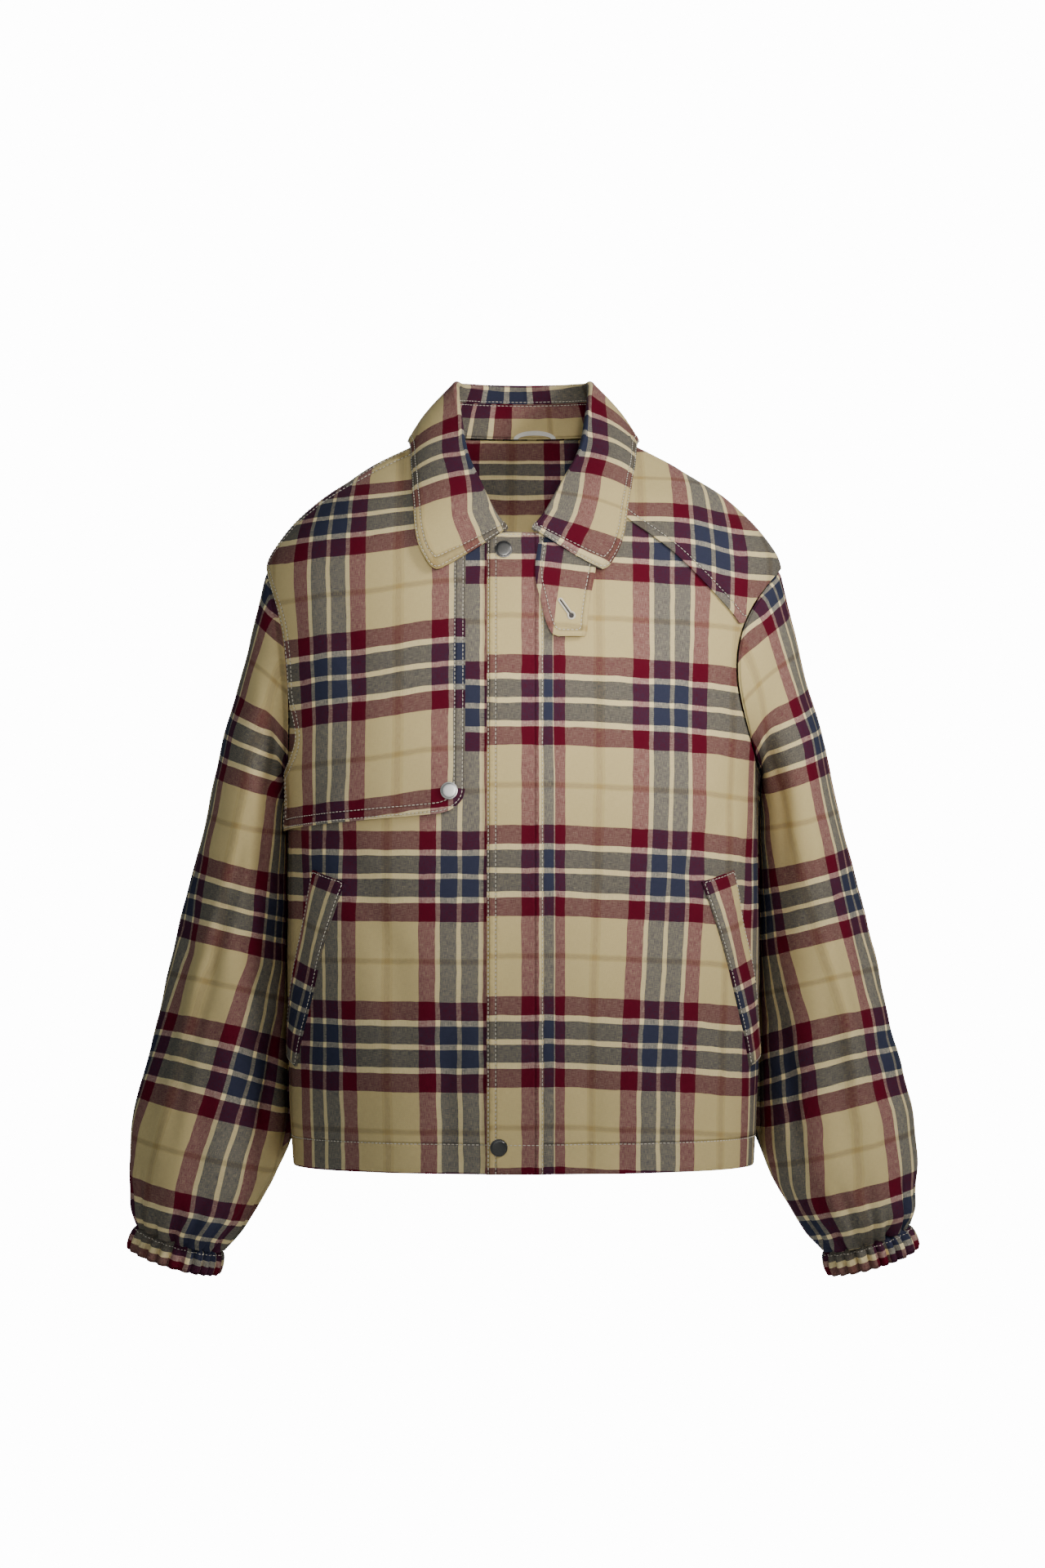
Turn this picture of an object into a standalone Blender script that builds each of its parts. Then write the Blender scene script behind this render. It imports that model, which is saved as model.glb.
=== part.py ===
"""Cropped trench jacket in checked cotton, hollow and filled out as when worn.

Metres, +Z up. The front faces -Y and the wearer's left is +X. The origin lies on the
centre line at the height of the neck ends of the shoulder seams, where the jacket is held.
Every sewn piece is a closed cloth wall of its own, SEAM away from its neighbours. The body
is a stack of level sections, the sleeves are tubes of tilted rings that start on the
armhole, and what is sewn on top of a front is cut from that front's own rows, moved out.
"""
import math
from collections import namedtuple

import bmesh
import bpy
from mathutils import Vector

# Cloth
CLOTH = 0.0016          # wall of a panel
FACED = 0.0020          # wall of a piece sewn from two layers
CUFF_WALL = 0.0024      # two layers round an elastic
SEAM = 0.0003           # clearance between sewn pieces

# Body, as level sections from the hem to the neck
HEM_Z = -0.636
Section = namedtuple("Section", "z half_width front_depth back_depth power")
BODY = [
    Section(HEM_Z, 0.2030, 0.1430, 0.1500, 2.40),
    Section(-0.560, 0.2065, 0.1460, 0.1520, 2.40),
    Section(-0.450, 0.2075, 0.1460, 0.1500, 2.40),
    Section(-0.350, 0.2070, 0.1430, 0.1470, 2.40),
    Section(-0.290, 0.2070, 0.1390, 0.1430, 2.40),
    Section(-0.230, 0.2120, 0.1340, 0.1380, 2.38),
    Section(-0.170, 0.2195, 0.1240, 0.1300, 2.34),
    Section(-0.113, 0.2250, 0.1080, 0.1170, 2.30),
    Section(-0.085, 0.2105, 0.1000, 0.1080, 2.25),
    Section(-0.055, 0.1810, 0.0800, 0.0980, 2.20),
    Section(-0.037, 0.1550, 0.0600, 0.0900, 2.20),
    Section(-0.019, 0.1270, 0.0410, 0.0830, 2.20),
    Section(0.000, 0.0880, 0.0220, 0.0740, 2.20),
    Section(0.005, 0.0800, 0.0100, 0.0720, 2.20),
]
DrapeFold = namedtuple("DrapeFold", "around_deg spread_deg depth top_z")
DRAPE = [                       # soft troughs down the body, deepest at the hem
    DrapeFold(40, 11, 0.0025, -0.40),
    DrapeFold(66, 9, 0.0018, -0.48),
    DrapeFold(118, 9, 0.0020, -0.46),
    DrapeFold(142, 11, 0.0025, -0.40),
    DrapeFold(212, 10, 0.0060, -0.32),
    DrapeFold(236, 8, 0.0045, -0.40),
    DrapeFold(262, 7, 0.0035, -0.44),
    DrapeFold(288, 8, 0.0050, -0.36),
    DrapeFold(322, 10, 0.0060, -0.33),
]

# Armhole, an oval drawn on the side of the body
ARMHOLE_MID_Z = -0.2015
ARMHOLE_HALF_HEIGHT = 0.0885
ARMHOLE_FRONT = 0.080
ARMHOLE_BACK = 0.088
ARMHOLE_STEPS = 18
SHOULDER_POINT_Z = ARMHOLE_MID_Z + ARMHOLE_HALF_HEIGHT
UNDERARM_Z = ARMHOLE_MID_Z - ARMHOLE_HALF_HEIGHT
SHOULDER_SEAM_FORWARD = 0.013   # the seam lies this far in front of the shoulder ridge
SHOULDER_SEAM_RISE = 0.020      # height over which it leaves the shoulder point
SHOULDER_SEAM_SHARE = 0.35      # of the front depth gained since the neck, the most it takes

# Neckline, a quarter oval on each front and a half oval round the back
NECK_HALF_WIDTH = 0.078
NECK_TOP_Z = 0.006
NECK_DROP = 0.092
BACK_NECK_Z = 0.0053
BACK_NECK_DEPTH = 0.0715

# Panels
LOWER_ROWS = 9
FRONT_COLUMNS = 13
BACK_COLUMNS = 20
FRONT_TOP_ROWS = (-0.099, -0.0865, -0.083, -0.077, -0.068, -0.055, -0.037, -0.019, -0.006, 0.001)
BACK_TOP_ROWS = (-0.099, -0.083, -0.068, -0.055, -0.037, -0.019, -0.006, 0.001, 0.005)
UNDERLAP_EDGE_X = 0.0130        # the wearer's right front runs on to here under the placket
LAP_SEAM_X = 0.0136             # the wearer's left front starts here
NECKLINE_FIRST_Z = -0.083       # lowest row that starts on the neckline

# Front placket, on top of both fronts
PLACKET_LEFT_X = -0.0310
PLACKET_RIGHT_X = 0.0175
PLACKET_TOP_Z = -0.0905
PLACKET_COLUMNS = 4
PLACKET_GAP = 0.0005

# Storm flap on the wearer's right front
FLAP_EDGE_X = -0.0495
FLAP_BOTTOM_Z = -0.3260         # at the free corner
FLAP_SIDE_DROP = 0.0160         # it hangs this much lower at the side seam
FLAP_CORNER = 0.0180
FLAP_CORNER_STEPS = 4
FLAP_NECK_Z = -0.0620           # above this its inner edge runs beside the neckline
FLAP_TOP_Z = -0.0080
FLAP_SEAM_MARGIN = 0.0035       # kept from the armhole and shoulder seams
FLAP_SIDE_MARGIN = 0.0280       # kept from the side seam, below the armhole
FLAP_LOOSE_Z = -0.220           # where its outer edge leaves the armhole
FLAP_LOOSE_RUN = 0.050

# Lapped shoulder yoke on the wearer's left front: its lower edge
YokeEdge = namedtuple("YokeEdge", "z x")
YOKE_EDGE = [
    YokeEdge(-0.163, 0.1860),
    YokeEdge(-0.154, 0.1795),
    YokeEdge(-0.137, 0.1640),
    YokeEdge(-0.119, 0.1465),
    YokeEdge(-0.102, 0.1285),
    YokeEdge(-0.088, 0.1100),
    YokeEdge(-0.074, 0.0900),
    YokeEdge(-0.060, 0.0760),
    YokeEdge(-0.048, 0.0690),
]

# Throat tab, hanging from under the collar on the wearer's left
TabRow = namedtuple("TabRow", "z left_x right_x")
TAB = [
    TabRow(-0.0960, 0.0130, 0.0640),
    TabRow(-0.1110, 0.0105, 0.0630),
    TabRow(-0.1270, 0.0105, 0.0605),
    TabRow(-0.1430, 0.0140, 0.0575),
    TabRow(-0.1620, 0.0185, 0.0550),
    TabRow(-0.1750, 0.0245, 0.0540),
    TabRow(-0.1770, 0.0300, 0.0520),
]

# Slanted pocket welts, by distance along the cloth from the side seam
WeltCorner = namedtuple("WeltCorner", "from_side z")
WELT_CORNERS = [
    WeltCorner(0.128, -0.3865),
    WeltCorner(0.090, -0.3770),
    WeltCorner(0.025, -0.5400),
    WeltCorner(0.061, -0.5480),
]

# Sleeve rings for +X, each through an outer and an inner point on the sleeve's outline
Ring = namedtuple("Ring", "outer_x outer_z inner_x inner_z half_depth centre_y armhole_share lean")
SLEEVE = [
    Ring(0.2250, -0.1130, 0.2070, -0.2900, 0.0840, 0.004, 1.00, 0.00),
    Ring(0.2278, -0.1205, 0.2092, -0.2925, 0.0825, 0.006, 0.76, 0.00),
    Ring(0.2328, -0.1410, 0.2102, -0.2970, 0.0810, 0.009, 0.52, 0.00),
    Ring(0.2405, -0.1720, 0.2100, -0.3030, 0.0790, 0.013, 0.30, 0.00),
    Ring(0.2500, -0.2110, 0.2094, -0.3130, 0.0810, 0.017, 0.12, 0.00),
    Ring(0.2620, -0.2490, 0.2090, -0.3260, 0.0840, 0.020, 0.00, 0.00),
    Ring(0.2740, -0.3010, 0.2088, -0.3480, 0.0860, 0.022, 0.00, 0.00),
    Ring(0.2865, -0.3560, 0.2088, -0.3860, 0.0870, 0.024, 0.00, 0.00),
    Ring(0.3035, -0.4190, 0.2088, -0.4400, 0.0850, 0.024, 0.00, 0.00),
    Ring(0.3200, -0.4940, 0.2088, -0.5090, 0.0810, 0.020, 0.00, 0.02),
    Ring(0.3345, -0.5540, 0.2088, -0.5660, 0.0760, 0.014, 0.00, 0.04),
    Ring(0.3450, -0.5930, 0.2095, -0.6080, 0.0720, 0.009, 0.00, 0.06),
    Ring(0.3475, -0.6320, 0.2180, -0.6450, 0.0680, 0.005, 0.00, 0.08),
    Ring(0.3465, -0.6560, 0.2335, -0.6730, 0.0610, 0.002, 0.00, 0.10),
    Ring(0.3450, -0.6750, 0.2490, -0.6960, 0.0500, 0.000, 0.00, 0.12),
    Ring(0.3412, -0.6900, 0.2632, -0.7130, 0.0340, 0.000, 0.00, 0.14),
]
SLEEVE_COLUMNS = 2 * ARMHOLE_STEPS
SleeveFold = namedtuple("SleeveFold", "around_deg spread_deg depth top_z bottom_z")
SLEEVE_FOLDS = [                # 0 is the outer line, 90 the front, 180 the body side
    SleeveFold(42, 14, 0.0065, -0.36, -0.66),
    SleeveFold(118, 12, 0.0050, -0.20, -0.42),
    SleeveFold(86, 10, 0.0040, -0.46, -0.69),
    SleeveFold(250, 11, 0.0060, -0.18, -0.46),
    SleeveFold(300, 10, 0.0060, -0.34, -0.67),
    SleeveFold(214, 12, 0.0050, -0.44, -0.68),
]
SLEEVE_GATHERS = 9
SLEEVE_GATHER_DEPTH = 0.0024
SLEEVE_GATHER_START = 11        # first ring that the gathers reach

# Elasticated cuffs
CUFF_GATHERS = 24
CUFF_COLUMNS = 4 * CUFF_GATHERS
CuffRing = namedtuple("CuffRing", "along bulge gather")
CUFF_RINGS = [
    CuffRing(0.0010, 0.0002, 0.0011),
    CuffRing(0.0110, 0.0012, 0.0013),
    CuffRing(0.0215, 0.0006, 0.0017),
]
CUFF_HALF_WIDTH = 0.0405
CUFF_HALF_DEPTH = 0.0325

# Collar: places round the neck, from 0 at the centre back to 1 at the centre front
COLLAR_FOLD_RADIUS = 0.0036
COLLAR_FOLD_SHARE = 0.38        # most of the collar's height that its fold takes as radius
COLLAR_FALL_START = 0.0030      # least height of the leaf between the stand and the fold
STAND_SHARE = 0.64              # of the way from the neckline to the fold
COLLAR_COLUMNS = 13             # on each side of the centre back
COLLAR_LEAF_STEPS = 5
COLLAR_FRONT_END = 0.940
SHOULDER_TUCK = 0.0014          # the stand's foot is drawn in this much at the shoulder seams
SHOULDER_TUCK_RUN = 0.08
Collar = namedtuple("Collar", "around fold_x fold_y fold_z edge_x edge_y edge_z bulge lift")
COLLAR = [
    Collar(0.00, 0.0000, 0.0660, 0.0540, 0.0000, 0.0840, -0.007, 0.002, 0.0032),
    Collar(0.17, 0.0320, 0.0590, 0.0540, 0.0500, 0.0760, -0.008, 0.003, 0.0032),
    Collar(0.33, 0.0530, 0.0370, 0.0535, 0.0820, 0.0480, -0.010, 0.003, 0.0034),
    Collar(0.50, 0.0585, 0.0060, 0.0500, 0.0985, 0.0080, -0.007, 0.004, 0.0040),
    Collar(0.60, 0.0545, -0.0270, 0.0190, 0.0975, -0.0190, -0.012, 0.005, 0.0046),
    Collar(0.70, 0.0490, -0.0540, -0.0110, 0.0955, -0.0450, -0.038, 0.006, 0.0054),
    Collar(0.80, 0.0370, -0.0780, -0.0390, 0.0925, -0.0700, -0.066, 0.005, 0.0060),
    Collar(0.90, 0.0230, -0.0960, -0.0670, 0.0870, -0.0880, -0.096, 0.003, 0.0064),
    Collar(COLLAR_FRONT_END, 0.0135, -0.1045, -0.0750, 0.0745, -0.0970, -0.118, 0.002, 0.0064),
]

# Snaps, and the hanging loop inside the back neck
SNAP_RADIUS = 0.0075
SNAP_HEIGHT = 0.0026
SNAP_SIDES = 16
SNAP_X = -0.0168
SNAP_TOP_Z = -0.1010
SNAP_BOTTOM_X = -0.0208
SNAP_BOTTOM_Z = -0.6125
SNAP_FLAP_X = -0.0625
SNAP_FLAP_Z = -0.3085
LOOP_LEFT_X = -0.0090
LOOP_RIGHT_X = 0.0300
LOOP_RISE = 0.0075
LOOP_RIBBON = 0.0040
LOOP_THICK = 0.0010
LOOP_STEPS = 10
STAND_LEAN = 0.12               # how far the stand leans in for each metre up

ROW_MARGIN = 0.002              # a panel row this close to an edge is not a mark of its own
CHART_MARGIN = 0.004            # in columns and rows of a panel's grid
FINE_STEPS = 160                # samples used to space points evenly along a section
Spot = namedtuple("Spot", "point normal")
Finish = namedtuple("Finish", "name colour roughness metallic")
CHECKED_COTTON = Finish("checked_cotton", (0.55, 0.46, 0.33), 0.85, 0.0)
FACED_COTTON = Finish("faced_cotton", (0.50, 0.34, 0.30), 0.85, 0.0)
GUNMETAL = Finish("gunmetal", (0.16, 0.16, 0.17), 0.35, 1.0)
STEEL = Finish("steel", (0.62, 0.61, 0.58), 0.30, 1.0)
RIBBON = Finish("ribbon", (0.80, 0.77, 0.70), 0.70, 0.0)


def signed_power(value, power):
    """Raise the size of value to power and keep its sign."""
    return math.copysign(abs(value) ** power, value)


def ease(share):
    """Go smoothly from 0 to 1 as share does, flat at both ends."""
    share = min(max(share, 0.0), 1.0)
    return share * share * (3.0 - 2.0 * share)


def table_row(rows, at):
    """Read a table between its rows by a smooth curve through each column; column 0 is the key."""
    at = min(max(at, rows[0][0]), rows[-1][0])
    index = 0
    while index < len(rows) - 2 and at > rows[index + 1][0]:
        index += 1
    low, high = rows[index], rows[index + 1]
    before = rows[max(index - 1, 0)]
    after = rows[min(index + 2, len(rows) - 1)]
    span = high[0] - low[0]
    t = (at - low[0]) / span
    values = [at]
    for column in range(1, len(low)):
        slope_in = (high[column] - before[column]) / (high[0] - before[0]) * span
        slope_out = (after[column] - low[column]) / (after[0] - low[0]) * span
        values.append((2 * t ** 3 - 3 * t ** 2 + 1) * low[column]
                      + (t ** 3 - 2 * t ** 2 + t) * slope_in
                      + (3 * t ** 2 - 2 * t ** 3) * high[column]
                      + (t ** 3 - t ** 2) * slope_out)
    return type(low)(*values)


def section_level(x, y, z):
    """Say where a point is against the body's section: 1 on it, less inside, more outside."""
    section = table_row(BODY, z)
    depth = section.front_depth if y < 0 else section.back_depth
    return (abs(x) / section.half_width) ** section.power + (abs(y) / depth) ** section.power


def body_normal(point):
    """Give the outward direction of the plain body surface at a point on it."""
    section = table_row(BODY, point.z)
    depth = section.front_depth if point.y < 0 else section.back_depth
    step = 0.002
    across = signed_power(point.x / section.half_width, section.power - 1) / section.half_width
    along = signed_power(point.y / depth, section.power - 1) / depth
    rise = (section_level(point.x, point.y, point.z + step)
            - section_level(point.x, point.y, point.z - step)) / (2 * step)
    return Vector((across * section.power, along * section.power, rise)).normalized()


def body_point(z, turn):
    """Give the body's point at a height: turn 0 is the +X side, a quarter turn the front."""
    section = table_row(BODY, z)
    depth = section.front_depth if math.sin(turn) >= 0 else section.back_depth
    return Vector((section.half_width * signed_power(math.cos(turn), 2 / section.power),
                   -depth * signed_power(math.sin(turn), 2 / section.power), z))


def turn_at_x(z, x):
    """Find the turn of the front's point at a given x."""
    section = table_row(BODY, z)
    share = min(max(x / section.half_width, -1.0), 1.0)
    return math.acos(signed_power(share, section.power / 2))


def turn_at_y(z, y, side):
    """Find the turn of the point at a given y, on the +X side (1) or the -X side (-1)."""
    section = table_row(BODY, z)
    depth = section.front_depth if y < 0 else section.back_depth
    share = min(max(-y / depth, -1.0), 1.0)
    turn = math.asin(signed_power(share, section.power / 2))
    return turn if side > 0 else math.pi - turn


def front_point(x, z):
    """Give the front's point at an x and a height."""
    return body_point(z, turn_at_x(z, x))


def drape(point):
    """Sum the drape folds at a point of the body, as a depth towards the inside."""
    around = math.degrees(math.atan2(-point.y, point.x)) % 360
    total = 0.0
    for fold in DRAPE:
        reach = ease((fold.top_z - point.z) / (fold.top_z - HEM_Z))
        total += fold.depth * reach * math.exp(-((around - fold.around_deg) / fold.spread_deg) ** 2)
    return total


def body_row(z, turn_from, turn_to, columns):
    """Space a row of spots evenly along the body's section, folds included."""
    trail = [body_point(z, turn_from + (turn_to - turn_from) * i / FINE_STEPS)
             for i in range(FINE_STEPS + 1)]
    travelled = [0.0]
    for start, end in zip(trail, trail[1:]):
        travelled.append(travelled[-1] + (end - start).length)
    row = []
    index = 0
    for column in range(columns + 1):
        target = travelled[-1] * column / columns
        while index < FINE_STEPS - 1 and travelled[index + 1] < target:
            index += 1
        share = (target - travelled[index]) / (travelled[index + 1] - travelled[index])
        point = trail[index].lerp(trail[index + 1], min(max(share, 0.0), 1.0))
        normal = body_normal(point)
        row.append(Spot(point - normal * drape(point), normal))
    return row


def seam_y(z):
    """Give the y of the shoulder seam at a height above the shoulder point."""
    forward = SHOULDER_SEAM_FORWARD * ease((z - SHOULDER_POINT_Z) / SHOULDER_SEAM_RISE)
    room = table_row(BODY, z).front_depth - BODY[-1].front_depth
    return -min(forward, SHOULDER_SEAM_SHARE * room)


def armhole_y(z, reach):
    """Give how far the armhole reaches forward or back at a height."""
    share = (z - ARMHOLE_MID_Z) / ARMHOLE_HALF_HEIGHT
    return reach * math.sqrt(max(0.0, 1.0 - share * share))


def front_outer_y(z):
    """Give the y where a front ends: side seam, armhole or shoulder seam."""
    if z >= SHOULDER_POINT_Z:
        return seam_y(z) - SEAM / 2
    return -armhole_y(z, ARMHOLE_FRONT) - SEAM / 2


def back_outer_y(z):
    """Give the y where the back ends on either side."""
    if z >= SHOULDER_POINT_Z:
        return seam_y(z) + SEAM / 2
    return armhole_y(z, ARMHOLE_BACK) + SEAM / 2


def neckline_x(z):
    """Give the neckline's distance from the centre line at a height."""
    share = (NECK_TOP_Z - z) / NECK_DROP
    return NECK_HALF_WIDTH * math.sqrt(max(0.0, 1.0 - share * share))


def row_heights(top_rows):
    """List the heights of a panel's rows, closest together round the armhole."""
    lower = [HEM_Z + (UNDERARM_Z - HEM_Z) * i / LOWER_ROWS for i in range(LOWER_ROWS)]
    half = ARMHOLE_STEPS // 2
    armhole = [ARMHOLE_MID_Z - ARMHOLE_HALF_HEIGHT * math.cos(math.pi * i / half)
               for i in range(half + 1)]
    return lower + armhole + list(top_rows)


def front_rows(side):
    """Give the rows of one front, from its centre edge out to its seams."""
    rows = []
    for z in row_heights(FRONT_TOP_ROWS):
        if z >= NECKLINE_FIRST_Z:
            edge_x = side * neckline_x(z)
        else:
            edge_x = LAP_SEAM_X if side > 0 else UNDERLAP_EDGE_X
        outer = turn_at_y(z, front_outer_y(z), side)
        rows.append(body_row(z, turn_at_x(z, edge_x), outer, FRONT_COLUMNS))
    return rows


def back_rows():
    """Give the rows of the back, from the +X seams round to the -X seams."""
    rows = []
    for z in row_heights(BACK_TOP_ROWS):
        start = turn_at_y(z, back_outer_y(z), 1)
        end = turn_at_y(z, back_outer_y(z), -1) - 2 * math.pi
        rows.append(body_row(z, start, end, BACK_COLUMNS))
    return rows


def distance_to_side(row):
    """List how far each spot of a front's row is from the row's outer end, along the cloth."""
    far = [0.0]
    for start, end in zip(reversed(row[:-1]), reversed(row[1:])):
        far.append(far[-1] + (end.point - start.point).length)
    return list(reversed(far))


def column_from_side(row, distance):
    """Find the column at a distance from the row's outer end."""
    far = distance_to_side(row)
    for column in range(len(row) - 1):
        if far[column + 1] <= distance:
            return column + max((far[column] - distance) / (far[column] - far[column + 1]), 0.0)
    return float(len(row) - 1)


def column_at_x(row, x):
    """Find the column of a front's row at a given x."""
    for column in range(len(row) - 1):
        here, there = row[column].point.x, row[column + 1].point.x
        if min(here, there) <= x <= max(here, there):
            return column + (x - here) / (there - here)
    return 0.0


def row_number(rows, z):
    """Find where a height falls among a panel's rows, counting from 0 at the hem."""
    number = 0
    while number < len(rows) - 2 and rows[number + 1][0].point.z < z:
        number += 1
    low, high = rows[number][0].point.z, rows[number + 1][0].point.z
    return number + min(max((z - low) / (high - low), 0.0), 1.0)


def place_on(rows, z, column_of):
    """Give a place on a panel's grid, as column and row number, from a rule for the column."""
    number = row_number(rows, z)
    low = int(min(number, len(rows) - 2))
    share = number - low
    column = column_of(rows[low]) * (1.0 - share) + column_of(rows[low + 1]) * share
    return (column, number)


def own_heights(rows, low, high):
    """List low, the heights of a panel's own rows above it, and high."""
    inside = [row[0].point.z for row in rows if low + ROW_MARGIN < row[0].point.z < high - ROW_MARGIN]
    return [low] + inside + [high]


def grid_spot(rows, column, number):
    """Give the point and normal at a place of a panel's grid, on its flat triangles."""
    left = min(int(column), len(rows[0]) - 2)
    low = min(int(number), len(rows) - 2)
    across, up = column - left, number - low
    if across + up <= 1.0:
        corner, beside, above = rows[low][left], rows[low][left + 1], rows[low + 1][left]
    else:
        corner, beside, above = rows[low + 1][left + 1], rows[low + 1][left], rows[low][left + 1]
        across, up = 1.0 - across, 1.0 - up
    point = corner.point + (beside.point - corner.point) * across + (above.point - corner.point) * up
    normal = (corner.normal + (beside.normal - corner.normal) * across
              + (above.normal - corner.normal) * up)
    return point, normal.normalized()


def inside_outline(outline, x, y):
    """Say whether a place lies inside a closed outline."""
    inside = False
    for (ax, ay), (bx, by) in zip(outline, outline[1:] + outline[:1]):
        if (ay > y) != (by > y) and x < ax + (bx - ax) * (y - ay) / (by - ay):
            inside = not inside
    return inside


def outlined_patch(rows, outline):
    """Cut the flat chart of a panel's grid along an outline and keep what lies inside."""
    chart = bmesh.new()
    grid = [[chart.verts.new((column, number, 0)) for column in range(len(rows[0]))]
            for number in range(len(rows))]
    for low, high in zip(grid, grid[1:]):
        for column in range(len(low) - 1):
            chart.faces.new((low[column], low[column + 1], high[column]))
            chart.faces.new((low[column + 1], high[column + 1], high[column]))
    for (ax, ay), (bx, by) in zip(outline, outline[1:] + outline[:1]):
        touched = []
        for face in chart.faces:
            xs = [vert.co.x for vert in face.verts]
            ys = [vert.co.y for vert in face.verts]
            if (min(xs) < max(ax, bx) + CHART_MARGIN and max(xs) > min(ax, bx) - CHART_MARGIN
                    and min(ys) < max(ay, by) - CHART_MARGIN
                    and max(ys) > min(ay, by) + CHART_MARGIN
                    or abs(ay - by) < CHART_MARGIN and min(ys) < ay < max(ys)
                    and min(xs) < max(ax, bx) and max(xs) > min(ax, bx)):
                touched.append(face)
        near = set(touched)
        for face in touched:
            near.update(face.edges)
            near.update(face.verts)
        bmesh.ops.bisect_plane(chart, geom=list(near), dist=CHART_MARGIN / 10,
                               plane_co=(ax, ay, 0), plane_no=(by - ay, ax - bx, 0))
    outside = [face for face in chart.faces
               if not inside_outline(outline, *face.calc_center_median().xy)]
    bmesh.ops.delete(chart, geom=outside, context="FACES")
    bmesh.ops.remove_doubles(chart, verts=chart.verts, dist=CHART_MARGIN)
    bmesh.ops.triangulate(chart, faces=chart.faces)
    return chart


def overlay_piece(name, rows, outline, lift, thickness, finish):
    """Build what lies on a panel: a patch of its own cells, moved out and given a wall."""
    chart = outlined_patch(rows, outline)
    builder = bmesh.new()
    spots = {vert: grid_spot(rows, vert.co.x, vert.co.y) for vert in chart.verts}
    inner = {vert: builder.verts.new(point + normal * lift)
             for vert, (point, normal) in spots.items()}
    outer = {vert: builder.verts.new(point + normal * (lift + thickness))
             for vert, (point, normal) in spots.items()}
    for face in chart.faces:
        builder.faces.new([outer[vert] for vert in face.verts])
        builder.faces.new([inner[vert] for vert in reversed(face.verts)])
    for edge in chart.edges:
        if edge.is_boundary:
            first, second = edge.verts
            builder.faces.new((inner[first], inner[second], outer[second], outer[first]))
    chart.free()
    bmesh.ops.recalc_face_normals(builder, faces=builder.faces)
    return make_object(name, builder, finish)


def finish_material(finish):
    """Make, or find again, the material of a finish."""
    material = bpy.data.materials.get(finish.name)
    if material is None:
        material = bpy.data.materials.new(finish.name)
        material.use_nodes = True
        shader = material.node_tree.nodes["Principled BSDF"]
        shader.inputs["Base Color"].default_value = (*finish.colour, 1.0)
        shader.inputs["Roughness"].default_value = finish.roughness
        shader.inputs["Metallic"].default_value = finish.metallic
    return material


def make_object(name, mesh_builder, finish):
    """Turn a bmesh into a named object whose faces point out."""
    mesh_builder.normal_update()
    if mesh_builder.calc_volume(signed=True) < 0:
        bmesh.ops.reverse_faces(mesh_builder, faces=mesh_builder.faces)
    mesh = bpy.data.meshes.new(name)
    mesh_builder.to_mesh(mesh)
    mesh_builder.free()
    mesh.shade_smooth()
    mesh.set_sharp_from_angle(angle=math.radians(40))
    mesh.materials.append(finish_material(finish))
    piece = bpy.data.objects.new(name, mesh)
    bpy.context.scene.collection.objects.link(piece)
    return piece


def layered_piece(name, rows, lift, thickness, finish):
    """Build an open panel: an inner skin lifted off its rows, an outer skin and the edges."""
    builder = bmesh.new()
    inner, outer = ([[builder.verts.new(spot.point + spot.normal * height) for spot in row]
                     for row in rows] for height in (lift, lift + thickness))
    for skin, flip in ((inner, True), (outer, False)):
        for low, high in zip(skin, skin[1:]):
            for column in range(len(low) - 1):
                for corners in ((low[column], low[column + 1], high[column]),
                                (low[column + 1], high[column + 1], high[column])):
                    builder.faces.new(reversed(corners) if flip else corners)
    rim_in, rim_out = (skin[0] + [row[-1] for row in skin[1:-1]] + skin[-1][::-1]
                       + [row[0] for row in skin[-2:0:-1]] for skin in (inner, outer))
    for index in range(len(rim_in)):
        following = (index + 1) % len(rim_in)
        builder.faces.new((rim_in[index], rim_in[following], rim_out[following], rim_out[index]))
    bmesh.ops.recalc_face_normals(builder, faces=builder.faces)
    return make_object(name, builder, finish)


def grid_normals(grid, closed):
    """Give a direction square to the grid at each point, to the same side all over."""
    normals = []
    last = len(grid) - 1
    for index, row in enumerate(grid):
        count = len(row)
        line = []
        for column in range(count):
            if closed:
                along = row[(column + 1) % count] - row[column - 1]
            else:
                along = row[min(column + 1, count - 1)] - row[max(column - 1, 0)]
            across = grid[min(index + 1, last)][column] - grid[max(index - 1, 0)][column]
            line.append(along.cross(across).normalized())
        normals.append(line)
    return normals


def tube_piece(name, rings, normals, thickness, finish):
    """Build a tube's wall from rings of points, its thickness going inwards."""
    builder = bmesh.new()
    skins = []
    for depth in (0.0, thickness):
        skins.append([[builder.verts.new(point - normal * depth)
                       for point, normal in zip(ring, line)]
                      for ring, line in zip(rings, normals)])
    outer, inner = skins
    count = len(rings[0])
    for column in range(count):
        following = (column + 1) % count
        for index in range(len(rings) - 1):
            builder.faces.new((outer[index][column], outer[index][following],
                               outer[index + 1][following], outer[index + 1][column]))
            builder.faces.new((inner[index][following], inner[index][column],
                               inner[index + 1][column], inner[index + 1][following]))
        builder.faces.new((inner[0][column], inner[0][following],
                           outer[0][following], outer[0][column]))
        builder.faces.new((outer[-1][column], outer[-1][following],
                           inner[-1][following], inner[-1][column]))
    return make_object(name, builder, finish)


def build_panels(fronts, back):
    """Build the two fronts and the back."""
    layered_piece("front_right", fronts[-1], -CLOTH, CLOTH, CHECKED_COTTON)
    layered_piece("front_left", fronts[1], -CLOTH, CLOTH, CHECKED_COTTON)
    layered_piece("back", back, -CLOTH, CLOTH, CHECKED_COTTON)


def from_side(distance):
    """Give the rule for the column at a distance from a front's outer end."""
    return lambda row: column_from_side(row, distance)


def from_neck(distance):
    """Give the rule for the column at a distance from a front's inner end."""
    return lambda row: column_from_side(row, distance_to_side(row)[0] - distance)


def at_x(x):
    """Give the rule for the column at a given x."""
    return lambda row: column_at_x(row, x)


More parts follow.
